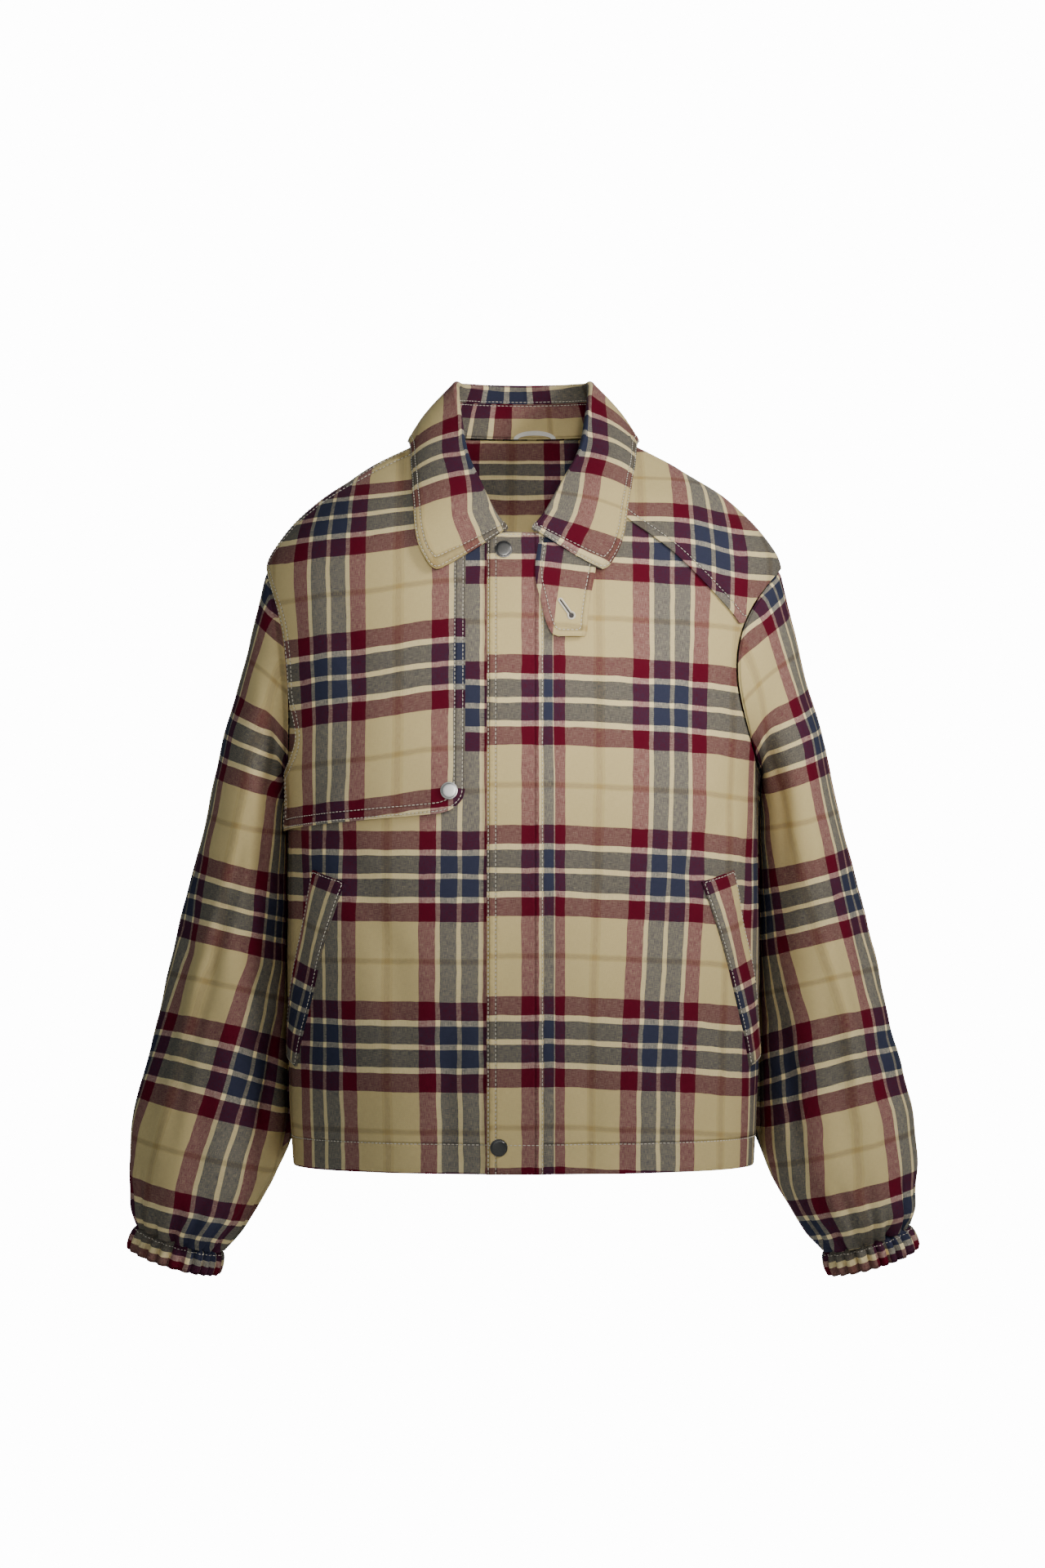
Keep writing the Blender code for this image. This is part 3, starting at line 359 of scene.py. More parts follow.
    def armhole_y(self, z: Array, reach: float) -> Array:
        """Give how far the armhole reaches forward or back at heights."""
        share = (z - self.armhole_mid_z) / self.armhole_half_height
        return reach * np.sqrt(np.clip(1 - share * share, 0, None))

    def seam_y(self, z: Array) -> Array:
        """Give the y of the shoulder seam at heights above the shoulder point."""
        forward = 0.013 * ease((z - self.shoulder_z) / 0.020)
        room = self.section(z)[..., 2] - self.sections[-1][2]
        return -np.minimum(forward, 0.35 * room)

    def front_end(self, z: Array) -> Array:
        """Give the arc length where a front ends: side seam, armhole or shoulder seam."""
        y = np.where(z >= self.shoulder_z, self.seam_y(z), -self.armhole_y(z, self.armhole_front))
        return self.arc_at_turn(z, self.turn_at_y(z, y - SEAM / 2))

    def back_end(self, z: Array) -> Array:
        """Give the arc length from the centre back to where the back ends."""
        y = np.where(z >= self.shoulder_z, self.seam_y(z), self.armhole_y(z, self.armhole_back))
        return self.half_girth(z) - self.arc_at_turn(z, self.turn_at_y(z, y + SEAM / 2))

    def neckline_x(self, z: Array) -> Array:
        """Give the neckline's distance from the centre line at heights."""
        share = (self.neck_top_z - z) / self.neck_drop
        return self.neck_half_width * np.sqrt(np.clip(1 - share * share, 0, None))

    def neck_point(self, around: Array) -> Array:
        """Give the neckline's points, from 0 at the centre back to 1 at the centre front."""
        angle = np.pi * np.minimum(around, 0.5)
        back = np.stack([self.neck_half_width * np.sin(angle), self.back_neck_depth * np.cos(angle),
                         np.full_like(angle, self.back_neck_z)], -1)
        angle = np.pi * (np.maximum(around, 0.5) - 0.5)
        z = np.minimum(self.neck_top_z - self.neck_drop * np.sin(angle), self.back_neck_z)
        x = self.neck_half_width * np.cos(angle)
        front = self.point(z, self.turn_at_x(z, x))
        return np.where((around <= 0.5)[..., None], back, front)

    def armhole_point(self, angle: Array, inset: float) -> Array:
        """Give the +X armhole's points: angle 0 at the top, a quarter turn at the front."""
        z = self.armhole_mid_z + (self.armhole_half_height - inset) * np.cos(angle)
        reach = np.where(np.sin(angle) > 0, self.armhole_front, self.armhole_back)
        y = -(reach - inset) * np.sin(angle)
        return self.point(z, self.turn_at_y(z, y))

    def clear(self, points: Array, lift: Array) -> Array:
        """Move points out until they are at least lift away from the plain form."""
        for _ in range(3):
            z = np.minimum(points[..., 2], self.top_z)
            level = np.maximum(self.level(points, z), 1e-6)
            shrink = level ** (-1 / self.section(z)[..., 4])
            base = np.stack([points[..., 0] * shrink, points[..., 1] * shrink, z], -1)
            normal = self.normal(base)
            missing = lift - np.sum((points - base) * normal, -1)
            missing = np.where(points[..., 2] > self.top_z, 0, np.maximum(missing, 0))
            points = points + normal * missing[..., None]
        return points

    def rise(self, z: Array, front: bool) -> Array:
        """Give the length of cloth up the front or back at heights, from the hem's height."""
        return np.interp(z, self.levels, self.rises[front])


# ---------------------------------------------------------------- cloth grids


@dataclass
class Cloth:
    """A grid of cloth: points in space, the same points on the flat cut, and stitch fields."""

    points: Array
    flat: Array
    closed: bool = False
    edge: Array | None = None
    cut: tuple[tuple[float, float], float] | None = None

    def normals(self) -> Array:
        """Give the direction square to the cloth, towards its face, at each point."""
        if self.closed:
            ring = self.points[:, :-1]
            across = np.roll(ring, -1, 1) - np.roll(ring, 1, 1)
            across = np.concatenate([across, across[:, :1]], 1)
        else:
            across = np.gradient(self.points, axis=1)
        return unit(np.cross(across, np.gradient(self.points, axis=0)))

    def lifted(self, height: Array) -> "Cloth":
        """Give the same cloth moved out along its own normals."""
        points = self.points + self.normals() * height[..., None]
        return Cloth(points, self.flat, self.closed, self.edge)

    def border(self, which: Border) -> Array:
        """Give a border of the flat cut as a line of points."""
        return {Border.BOTTOM: self.flat[0], Border.TOP: self.flat[-1],
                Border.START: self.flat[:, 0], Border.END: self.flat[:, -1]}[which]

    def away_from(self, *borders: Border) -> Array:
        """Give each point's distance on the flat cut from the nearest of some borders."""
        best = np.full(self.flat.shape[:2], 1.0)
        for border in borders:
            line = self.border(border)
            start, run = line[:-1], np.diff(line, axis=0)
            length = np.maximum(np.sum(run * run, -1), 1e-14)
            for index, row in enumerate(self.flat):
                offset = row[:, None, :] - start[None]
                along = np.clip(np.sum(offset * run, -1) / length, 0, 1)
                far = np.linalg.norm(offset - run * along[..., None], axis=-1)
                best[index] = np.minimum(best[index], far.min(1))
        return best

    def with_edge(self, *borders: Border) -> "Cloth":
        """Record the distance from the finished edges."""
        self.edge = self.away_from(*borders)
        return self

    def contour(self, values: Array, level: float) -> list[tuple[Array, Array]]:
        """Trace the lines on which a field has a level.

        Args:
            values: One number for each point of the grid.
            level: The value to follow.

        Returns:
            Lines, each as its points and the cloth's normals there.
        """
        normals = self.normals()
        above = values >= level
        links: dict[tuple[int, int, int], list[tuple[int, int, int]]] = {}
        mixed = above[:-1, :-1].astype(int) + above[1:, :-1] + above[:-1, 1:] + above[1:, 1:]
        for r, c in zip(*np.nonzero((mixed > 0) & (mixed < 4))):
            crossed = []
            for key in ((r, c, 0), (r + 1, c, 0), (r, c, 1), (r, c + 1, 1)):
                if above[key[:2]] != above[self.far_end(key)]:
                    crossed.append(key)
            if len(crossed) == 2:
                links.setdefault(crossed[0], []).append(crossed[1])
                links.setdefault(crossed[1], []).append(crossed[0])
        lines = []
        seen = set()
        for first in sorted(links, key=lambda key: len(links[key])):
            if first in seen:
                continue
            chain, here = [first], first
            seen.add(first)
            while True:
                ahead = [key for key in links[here] if key not in seen]
                if not ahead:
                    break
                here = ahead[0]
                seen.add(here)
                chain.append(here)
            if self.closed and len(chain) > 3 and first in links[here]:
                chain.append(first)
            lines.append(self.trace(chain, values, level, normals))
        return [line for line in lines if len(line[0]) > 2]

    @staticmethod
    def far_end(key: tuple[int, int, int]) -> tuple[int, int]:
        """Give the second point of a grid edge, known by its first point and its direction."""
        r, c, up = key
        return (r + 1, c) if up else (r, c + 1)

    def trace(self, chain: Sequence[tuple[int, int, int]], values: Array, level: float,
              normals: Array) -> tuple[Array, Array]:
        """Place the crossings of a chain of grid edges."""
        places, directions = [], []
        for key in chain:
            a, b = key[:2], self.far_end(key)
            share = (level - values[a]) / (values[b] - values[a])
            places.append(self.points[a] * (1 - share) + self.points[b] * share)
            directions.append(normals[a] * (1 - share) + normals[b] * share)
        return np.array(places), unit(np.array(directions))

    def flat_size(self) -> tuple[tuple[float, float], float]:
        """Give the width and length of the flat cut, and its area."""
        span = self.flat.reshape(-1, 2).max(0) - self.flat.reshape(-1, 2).min(0)
        a = self.flat[1:, 1:] - self.flat[:-1, :-1]
        b = self.flat[1:, :-1] - self.flat[:-1, 1:]
        area = float(np.abs(a[..., 0] * b[..., 1] - a[..., 1] * b[..., 0]).sum() / 2)
        width, length = map(float, span)
        return (width, length), min(area, width * length)

    def shell(self, name: str, wall: float, finish: Material) -> Piece:
        """Make the cloth an object with a wall, its face on the grid's points.

        Args:
            name: The piece's name.
            wall: The thickness, taken towards the inside.
            finish: The material.

        Returns:
            The new object.
        """
        rows, columns = self.points.shape[:2]
        width = columns - 1 if self.closed else columns
        outer = self.points[:, :width]
        inner = (self.points - self.normals() * wall)[:, :width]
        r, c = np.meshgrid(np.arange(rows - 1), np.arange(columns - 1), indexing="ij")
        corners = np.stack([np.stack([r, c], -1), np.stack([r, c + 1], -1),
                            np.stack([r + 1, c + 1], -1), np.stack([r + 1, c], -1)], -2).reshape(-1, 4, 2)
        skins = [(corners, np.zeros(4, int)), (corners[:, ::-1], np.ones(4, int))]
        line = np.stack([np.zeros(columns, int), np.arange(columns)], -1)
        rims = [line, (line + [rows - 1, 0])[::-1]]
        if not self.closed:
            side = np.stack([np.arange(rows), np.full(rows, columns - 1)], -1)
            rims += [side, (side * [1, 0])[::-1]]
        for rim in rims:
            quads = np.stack([rim[1:], rim[:-1], rim[:-1], rim[1:]], 1)
            skins.append((quads, np.array([0, 0, 1, 1])))
        places = np.concatenate([quads for quads, _ in skins])
        layers = np.concatenate([np.broadcast_to(layer, quads.shape[:2]) for quads, layer in skins])
        index = layers * rows * width + places[..., 0] * width + places[..., 1] % width
        mesh = bpy.data.meshes.new(name)
        mesh.from_pydata(np.concatenate([outer.reshape(-1, 3), inner.reshape(-1, 3)]).tolist(), [],
                         index.tolist())
        flat = self.flat[places[..., 0], places[..., 1]]
        mesh.uv_layers.new(name="UVMap").data.foreach_set("uv", flat.astype(np.float32).ravel())
        edge = self.edge if self.edge is not None else np.full((rows, columns), 0.5)
        one = np.minimum(edge[:, :width], 0.5).ravel()
        mesh.attributes.new("edge", "FLOAT", "POINT").data.foreach_set(
            "value", np.concatenate([one, one]).astype(np.float32))
        return finished(name, mesh, finish)


def linked(name: str, data: bpy.types.ID) -> Piece:
    """Put an object of a mesh, light or camera in the scene."""
    item = bpy.data.objects.new(name, data)
    bpy.context.scene.collection.objects.link(item)
    return item


def finished(name: str, mesh: bpy.types.Mesh, finish: Material,
             angle: float = 45.0) -> Piece:
    """Shade a mesh smooth, give it its material and make it a piece."""
    mesh.validate()
    mesh.shade_smooth()
    mesh.set_sharp_from_angle(angle=math.radians(angle))
    mesh.materials.append(finish)
    return linked(name, mesh)


# ---------------------------------------------------------------- finishes


@dataclass(frozen=True)
class Yarn:
    """A dyed yarn, as linear colour."""

    red: float
    green: float
    blue: float

    def even(self, power: float) -> tuple[float, float, float, float]:
        """Give the colour in the space where crossing yarns are mixed half and half."""
        return (self.red ** (1 / power), self.green ** (1 / power), self.blue ** (1 / power), 1.0)


TAN = Yarn(0.490, 0.376, 0.172)
HALF_SHADE = Yarn(0.420, 0.310, 0.125)
SHADE = Yarn(0.330, 0.232, 0.092)
CREAM = Yarn(0.780, 0.620, 0.310)
RED = Yarn(0.086, 0.0030, 0.0115)
NAVY = Yarn(0.027, 0.029, 0.050)


@dataclass(frozen=True)
class Stripes:
    """The stripes of one direction of the check, as yarns and widths over one repeat."""

    band: tuple[tuple[Yarn, float], ...]

    @property
    def repeat(self) -> float:
        """Give the length of one repeat."""
        return sum(width for _, width in self.band)

    def ramp(self, tree: Tree, power: float) -> Node:
        """Make the colour ramp of one repeat."""
        node = tree.nodes.new("ShaderNodeValToRGB")
        ramp = node.color_ramp
        ramp.interpolation = "CONSTANT"
        ramp.elements.remove(ramp.elements[1])
        place = 0.0
        for number, (yarn, width) in enumerate(self.band):
            stop = ramp.elements.new(place / self.repeat) if number else ramp.elements[0]
            stop.color = yarn.even(power)
            place += width
        return node


WARP = Stripes(((RED, 0.0144), (CREAM, 0.0043), (NAVY, 0.0144), (CREAM, 0.0043), (NAVY, 0.0144),
                (CREAM, 0.0043), (RED, 0.0144), (TAN, 0.0243), (HALF_SHADE, 0.0026), (SHADE, 0.0052),
                (HALF_SHADE, 0.0026), (TAN, 0.0243)))
WEFT = Stripes(((RED, 0.0156), (CREAM, 0.0050), (NAVY, 0.0154), (CREAM, 0.0050), (NAVY, 0.0154),
                (CREAM, 0.0050), (RED, 0.0156), (TAN, 0.0318), (HALF_SHADE, 0.0012), (SHADE, 0.0030),
                (HALF_SHADE, 0.0012), (TAN, 0.0318)))


class Graph:
    """A shader node tree with short ways to add and join nodes."""

    def __init__(self, tree: Tree) -> None:
        """Keep the tree."""
        self.tree = tree

    def add(self, kind: str, sources: dict[str | int, object] | None = None,
            **settings: object) -> Node:
        """Add a shader node, set its properties and feed its sockets."""
        node = self.tree.nodes.new(f"ShaderNode{kind}")
        for name, value in settings.items():
            setattr(node, name, value)
        return self.feed(node, sources or {})

    def feed(self, node: Node, sources: dict[str | int, object]) -> Node:
        """Link sockets of a node to other sockets, or set their values."""
        for socket, source in sources.items():
            if isinstance(source, Socket):
                self.tree.links.new(source, node.inputs[socket])
            else:
                node.inputs[socket].default_value = source
        return node

    def math(self, operation: str, *values: object) -> Socket:
        """Add a Math node and give its result."""
        return self.add("Math", dict(enumerate(values)), operation=operation).outputs[0]

    def centred(self, value: object, reach: float) -> Socket:
        """Turn a value from 0 to 1 into one about zero, of a given reach."""
        return self.math("MULTIPLY", self.math("SUBTRACT", value, 0.5), reach)

    def bell(self, value: object, centre: object, width: float) -> Socket:
        """Give a soft bell of a value round a centre."""
        away = self.math("DIVIDE", self.math("SUBTRACT", value, centre), width)
        return self.math("EXPONENT", self.math("MULTIPLY", self.math("MULTIPLY", away, away), -1.0))

    def noise(self, vector: object, scale: float, detail: float = 2.0) -> Socket:
        """Add a noise of a vector and give its value."""
        return self.add("TexNoise", {"Vector": vector, "Scale": scale, "Detail": detail}).outputs[0]

    def scaled(self, vector: object, factor: object) -> Socket:
        """Scale a vector or a colour."""
        return self.add("VectorMath", {0: vector, "Scale": factor}, operation="SCALE").outputs[0]

    def mixed(self, share: object, low: object, high: object) -> Socket:
        """Mix two colours by the share of the second."""
        return self.add("Mix", {0: share, 6: low, 7: high}, data_type="RGBA").outputs[2]

    def toned(self, share: object, colour: Sequence[float], dark: float,
              light: float) -> Socket:
        """Mix a darker and a lighter tone of a colour by the share of the lighter."""
        return self.mixed(share, (*[value * dark for value in colour], 1.0),
                          (*[min(value * light, 1.0) for value in colour], 1.0))

    def relief(self, strength: float, distance: float, height: object,
               below: object = None) -> Socket:
        """Add a bump, over the normal below it if there is one."""
        sources = {"Strength": strength, "Distance": distance, "Height": height}
        if below is not None:
            sources["Normal"] = below
        return self.add("Bump", sources).outputs[0]


def new_group(name: str, inputs: Sequence[tuple[str, str]],
              outputs: Sequence[tuple[str, str]]) -> tuple[Graph, Node, Node]:
    """Make a shader node group.

    Args:
        name: The group's name.
        inputs: Names and socket types.
        outputs: Names and socket types.

    Returns:
        The group's graph, its input node and its output node.
    """
    tree = bpy.data.node_groups.new(name, "ShaderNodeTree")
    for side, sockets in (("INPUT", inputs), ("OUTPUT", outputs)):
        for label, kind in sockets:
            tree.interface.new_socket(name=label, in_out=side, socket_type=kind)
    return Graph(tree), tree.nodes.new("NodeGroupInput"), tree.nodes.new("NodeGroupOutput")


FLOAT, COLOUR, VECTOR = "NodeSocketFloat", "NodeSocketColor", "NodeSocketVector"


class Effect:
    """A shader node group that is made once and shared."""

    tree: Tree | None = None

    def group(self) -> Tree:
        """Make the group once and give it."""
        if self.tree is None:
            self.tree = self.build()
        return self.tree

    def build(self) -> Tree:
        """Make the group."""
        raise NotImplementedError


class Weave(Effect):
    """The checked twill: its colour with shade painted where dark and light yarns cross, its fine relief and
    its uneven yarn.
    """

    # the power of the space in which crossing yarns mix half and half; above 1 the dark yarn counts for
    # more, as painted shade in the gaps between yarns
    mixing = 3.0
    # painted shade: how much a dark weft, and a dark warp, darkens the light yarn it crosses
    weft_shade = 0.25
    warp_shade = 0.06
    greying = 0.55
    twill = 0.0012
    # how far stripes wander, and how often over a metre
    wander = 0.0026
    wander_scale = 38.0
    # scales of the slubs: fine across a yarn, long along it
    warp_yarn = (2600.0, 190.0, 1.0)
    weft_yarn = (190.0, 2600.0, 1.0)
    slub_tone = 0.34
    cloud_tone = 0.14

    def build(self) -> Tree:
        """Make the group from the flat cut's coordinates to colour and height."""
        graph, source, sink = new_group("Checked twill", [("Flat", VECTOR), ("Tone", FLOAT)],
                                        [("Colour", COLOUR), ("Height", FLOAT), ("Slub", FLOAT)])
        flat = source.outputs["Flat"]
        across, along = graph.add("SeparateXYZ", {0: flat}).outputs[:2]
        drift = graph.centred(graph.noise(flat, self.wander_scale), self.wander)
        ramps, lights = [], []
        for place, stripes in ((across, WARP), (along, WEFT)):
            turn = graph.math("DIVIDE", graph.math("ADD", place, drift), stripes.repeat)
            ramp = graph.feed(stripes.ramp(graph.tree, self.mixing), {0: graph.math("FRACT", turn)})
            ramps.append(ramp.outputs[0])
            lights.append(graph.add("RGBToBW", {0: ramp.outputs[0]}).outputs[0])
        warp_slub, weft_slub = (
            graph.noise(graph.add("VectorMath", {0: flat, 1: yarn}, operation="MULTIPLY").outputs[0],
                        1.0, 1.0) for yarn in (self.warp_yarn, self.weft_yarn))
        diagonal = graph.math("DIVIDE", graph.math("ADD", across, along), self.twill)
        wave = graph.math("SINE", graph.math("MULTIPLY", diagonal, math.tau))
        lean = graph.math("ADD", graph.math("MULTIPLY", wave, 0.10),
                          graph.math("SUBTRACT", warp_slub, weft_slub))
        share = graph.math("ADD", graph.math("MULTIPLY", lean, 0.6), 0.5)
        # painted shade: a light yarn is darkened where a darker yarn crosses it
        apart = graph.math("SUBTRACT", *lights)
        darker = graph.math("MULTIPLY", graph.math("MAXIMUM", apart, 0.0), self.weft_shade)
        lighter = graph.math("MULTIPLY", graph.math("MINIMUM", apart, 0.0), -self.warp_shade)
        grey = graph.math("MULTIPLY", graph.math("ABSOLUTE", apart), self.greying)
        muted = graph.add("HueSaturation", {
            "Color": graph.mixed(share, *ramps), "Saturation": graph.math("SUBTRACT", 1.0, grey),
            "Value": graph.math("SUBTRACT", 1.0, graph.math("ADD", darker, lighter))})
        gamma = graph.add("Gamma", {0: muted.outputs[0], 1: self.mixing})
        slub = graph.math("MULTIPLY", graph.math("ADD", warp_slub, weft_slub), 0.5)
        tone = graph.math("ADD", graph.centred(slub, self.slub_tone),
                          graph.centred(graph.noise(flat, 9.0, 3.0), self.cloud_tone))
        tone = graph.math("ADD", tone, source.outputs["Tone"])
        height = graph.math("ADD", graph.math("MULTIPLY", wave, 0.35), slub)
        graph.feed(sink, {"Colour": graph.scaled(gamma.outputs[0], tone), "Height": height,
                          "Slub": slub})
        return graph.tree


class Needlework(Effect):
    """The relief of stitched edges: a groove under each stitch line and puckers beside it, with shade
    painted into each groove.
    """

    groove_width = 0.0009
    pucker_width = 0.0042
    pucker_scale = 230.0
    pucker_height = 0.9
    # painted shade: how much darker the colour is drawn in the stitch grooves
    groove_shade = 0.26

    def build(self) -> Tree:
        """Make the group from the distance to the edge to height and the painted groove shade."""
        graph, source, sink = new_group(
            "Needlework", [("Flat", VECTOR), ("Distance", FLOAT), ("First", FLOAT), ("Second", FLOAT)],
            [("Height", FLOAT), ("Shade", FLOAT)])
        distance = source.outputs["Distance"]
        grooves, near = (
            graph.math("ADD", *[graph.bell(distance, source.outputs[line], width)
                                for line in ("First", "Second")])
            for width in (self.groove_width, self.pucker_width))
        pucker = graph.math("MULTIPLY", near, graph.noise(source.outputs["Flat"], self.pucker_scale, 1.0))
        pucker = graph.math("MULTIPLY", pucker, self.pucker_height)
        # painted shade: the colour darkens along each stitch groove
        shade = graph.math("SUBTRACT", 1.0, graph.math("MULTIPLY", grooves, self.groove_shade))
        graph.feed(sink, {"Height": graph.math("SUBTRACT", pucker, grooves), "Shade": shade})
        return graph.tree


WEAVE = Weave()
NEEDLEWORK = Needlework()
FAR = 9.0


class Finish:
    """A material that is made once, under its name."""

    name: str

    def material(self) -> Material:
        """Make, or find again, the material."""
        material = bpy.data.materials.get(self.name)
        if material is None:
            material = bpy.data.materials.new(self.name)
            material.use_nodes = True
            self.wire(Graph(material.node_tree), material.node_tree.nodes["Principled BSDF"])
        return material

    def wire(self, graph: Graph, shader: Node) -> None:
        """Join the material's nodes to its shader."""
        raise NotImplementedError


@dataclass(frozen=True)
class CheckedCloth(Finish):
    """The checked cotton with stitch lines at given distances from a piece's edges."""

    name: str
    first: float = FAR
    second: float = FAR

    def wire(self, graph: Graph, shader: Node) -> None:
        """Lay the weave and the needlework over the flat cut."""
        flat = graph.add("UVMap", uv_map="UVMap").outputs[0]
        weave = graph.add("Group", node_tree=WEAVE.group())
        graph.feed(weave, {"Flat": flat, "Tone": 1.0})
        edge = graph.add("Attribute", attribute_name="edge").outputs["Fac"]
        work = graph.add("Group", node_tree=NEEDLEWORK.group())
        graph.feed(work, {"Flat": flat, "Distance": edge, "First": self.first, "Second": self.second})
        fine = graph.relief(0.30, 0.00022, weave.outputs["Height"])
        graph.feed(shader, {
            # painted shade: the base colour is darkened along the stitch grooves
            "Base Color": graph.scaled(weave.outputs["Colour"], work.outputs["Shade"]),
            "Roughness": graph.math("SUBTRACT", 0.98, graph.math("MULTIPLY", weave.outputs["Slub"], 0.25)),
            "Specular IOR Level": 0.06,
            "Normal": graph.relief(0.75, 0.0011, work.outputs["Height"], fine)})


@dataclass(frozen=True)
class PlatedMetal(Finish):
    """Plated metal, worn a little unevenly."""

    name: str
    colour: Place
    roughness: float

    def wire(self, graph: Graph, shader: Node) -> None:
        """Vary tone and roughness by a fine grain and a broad cloud."""
        place = graph.add("TexCoord").outputs["Object"]
        grain = graph.noise(place, 900.0, 3.0)
        worn = graph.math("ADD", graph.math("MULTIPLY", grain, 0.5),
                          graph.math("MULTIPLY", graph.noise(place, 160.0, 2.0), 0.5))
        graph.feed(shader, {
            "Base Color": graph.toned(worn, self.colour, 0.72, 1.25), "Metallic": 1.0,
            "Roughness": graph.math("ADD", graph.math("MULTIPLY", worn, 0.16), self.roughness - 0.08),
            "Normal": graph.relief(0.18, 0.0001, grain)})


@dataclass(frozen=True)
class Thread(Finish):
    """Spun or woven thread in one colour, with a fine twist."""

    name: str
    colour: Place
    twist: float

    def wire(self, graph: Graph, shader: Node) -> None:
        """Vary tone, roughness and relief by slanting waves."""
        place = graph.add("TexCoord").outputs["Object"]
        x, y, z = graph.add("SeparateXYZ", {0: place}).outputs
        slant = graph.math("ADD", graph.math("ADD", x, y), z)
        wave = graph.math("SINE", graph.math("MULTIPLY", slant, math.tau / self.twist))
        tone = graph.math("ADD", graph.math("MULTIPLY", wave, 0.5), 0.5)
        share = graph.math("MULTIPLY", graph.math("ADD", tone, graph.noise(place, 60.0)), 0.5)
        graph.feed(shader, {
            "Base Color": graph.toned(share, self.colour, 0.74, 1.15),
            "Roughness": graph.math("ADD", graph.math("MULTIPLY", tone, 0.2), 0.6),
            "Normal": graph.relief(0.4, 0.0002, tone)})


PANEL_CLOTH = CheckedCloth("checked_panel", 0.0260)
FLAP_CLOTH = CheckedCloth("checked_flap", 0.0016, 0.0086)
YOKE_CLOTH = CheckedCloth("checked_yoke", 0.0070)
PLACKET_CLOTH = CheckedCloth("checked_placket", 0.0012, 0.0075)
WELT_CLOTH = CheckedCloth("checked_welt", 0.0014)
TAB_CLOTH = CheckedCloth("checked_tab", 0.0052)
SLEEVE_CLOTH = CheckedCloth("checked_sleeve", 0.0016)
CUFF_CLOTH = CheckedCloth("checked_cuff", 0.0012)
COLLAR_CLOTH = CheckedCloth("checked_collar", 0.0010, 0.0058)
STAND_CLOTH = CheckedCloth("checked_stand", 0.0014)
PALE_THREAD = Thread("pale_thread", (0.62, 0.56, 0.45), 0.0011)
RIBBON = Thread("pale_ribbon", (0.66, 0.62, 0.53), 0.0008)
# painted shade: a dark sheet in the buttonhole's opening stands for the shade inside it
SLIT_SHADE = Thread("shadowed_slit", (0.035, 0.028, 0.024), 0.0010)
GUNMETAL = PlatedMetal("gunmetal_plate", (0.090, 0.086, 0.080), 0.32)
NICKEL = PlatedMetal("nickel_plate", (0.36, 0.35, 0.33), 0.34)


# ---------------------------------------------------------------- stitching


@dataclass
class Stitching:
    """Rows of single stitches along lines on the cloth, as one piece of thread."""

    name: str
    stitch: float = 0.0027
    pitch: float = 0.0036
    radius: float = 0.00034
    sides: int = 5
    # each ring of a stitch: share of its length, size, height in radii
    bead: tuple[Place, ...] = (
        (0.0, 0.35, -0.25), (0.22, 1.0, 0.55), (0.78, 1.0, 0.55), (1.0, 0.35, -0.25))
    lines: list[tuple[Array, Array]] = field(default_factory=list)

    def build(self) -> Piece | None:
        """Make every stitch: a short bead of thread whose ends go into the cloth."""
        starts, ends, ups = [], [], []
        for points, normals in self.lines:
            run = travelled(points)
            count = int(run[-1] / self.pitch)
            if count < 1:
                continue
            begin = (np.arange(count) + 0.5) * run[-1] / count - self.stitch / 2
            for distances, line, into in ((begin, points, starts), (begin + self.stitch, points, ends),
                                          (begin + self.stitch / 2, normals, ups)):
                into.append(np.stack([np.interp(distances, run, line[:, k]) for k in range(3)], -1))
        if not starts:
            return None
        start, end, up = np.concatenate(starts), np.concatenate(ends), unit(np.concatenate(ups))
        run = unit(end - start)
        across = unit(np.cross(run, up))
        up = np.cross(across, run)
        rings = []
        for share, size, height in self.bead:
            centre = start + (end - start) * share + up * self.radius * height
            for angle in np.arange(self.sides) * math.tau / self.sides:
                rings.append(centre + (across * math.cos(angle) + up * math.sin(angle)) * self.radius * size)
        points = np.stack(rings, 1)
        whole, last = len(rings), len(rings) - self.sides
        faces = []
        for ring in range(0, last, self.sides):
            for k in range(self.sides):
                after = (k + 1) % self.sides
                faces.append((ring + k, ring + after, ring + self.sides + after, ring + self.sides + k))
        faces += [tuple(range(self.sides))[::-1], tuple(range(last, whole))]
        every = [tuple(index + whole * number for index in face)
                 for number in range(len(points)) for face in faces]
        mesh = bpy.data.meshes.new(self.name)
        mesh.from_pydata(points.reshape(-1, 3).tolist(), [], every)
        return finished(self.name, mesh, PALE_THREAD.material(), 80)


def carried(piece: Piece, slot: str, *nodes: str) -> Piece:
    """Let a piece ride on the jacket and stand for its nodes."""
    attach(piece, "root")
    if nodes:
        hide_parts(*nodes)
    return piece


def sew(node: str, cloth: Cloth, finish: CheckedCloth, wall: float, slot: str, held: str,
        rests_on: Sequence[str], rows: Sequence[tuple[Array, float]] = (), **thread: float) -> None:
    """Args:
        node: The node it stands for.
        cloth: Its grid.
        finish: Its cloth.
        wall: Its thickness.
        slot: Its material slot; not used.
        held: How it is held; not used.
        rests_on: The pieces it lies on or hangs from; not used.
        rows: Its rows of stitches, each as a field on the grid and the level to follow.
        thread: The stitches' length and pitch where they differ from the usual ones.
    """
    piece = carried(cloth.shell(f"sewn_{node}", wall, finish.material()), slot, node)
    stitching = Stitching(f"stitches_{node}", **thread)
    for values, level in rows:
        stitching.lines.extend(cloth.contour(values, level))
    sewn = stitching.build()
    with_pieces = [] if sewn is None else [carried(sewn, "ribbon")]


def roll(edge: Array, depth: float = 0.0007) -> Array:
    """Turn a face down at its finished edges."""
    return -depth * hump(edge, 0.0012)


def groove(edge: Array, *distances: float) -> Array:
    """Draw a face in along its stitch lines."""
    return sum(-0.00045 * hump(edge - distance, 0.0011) for distance in distances)


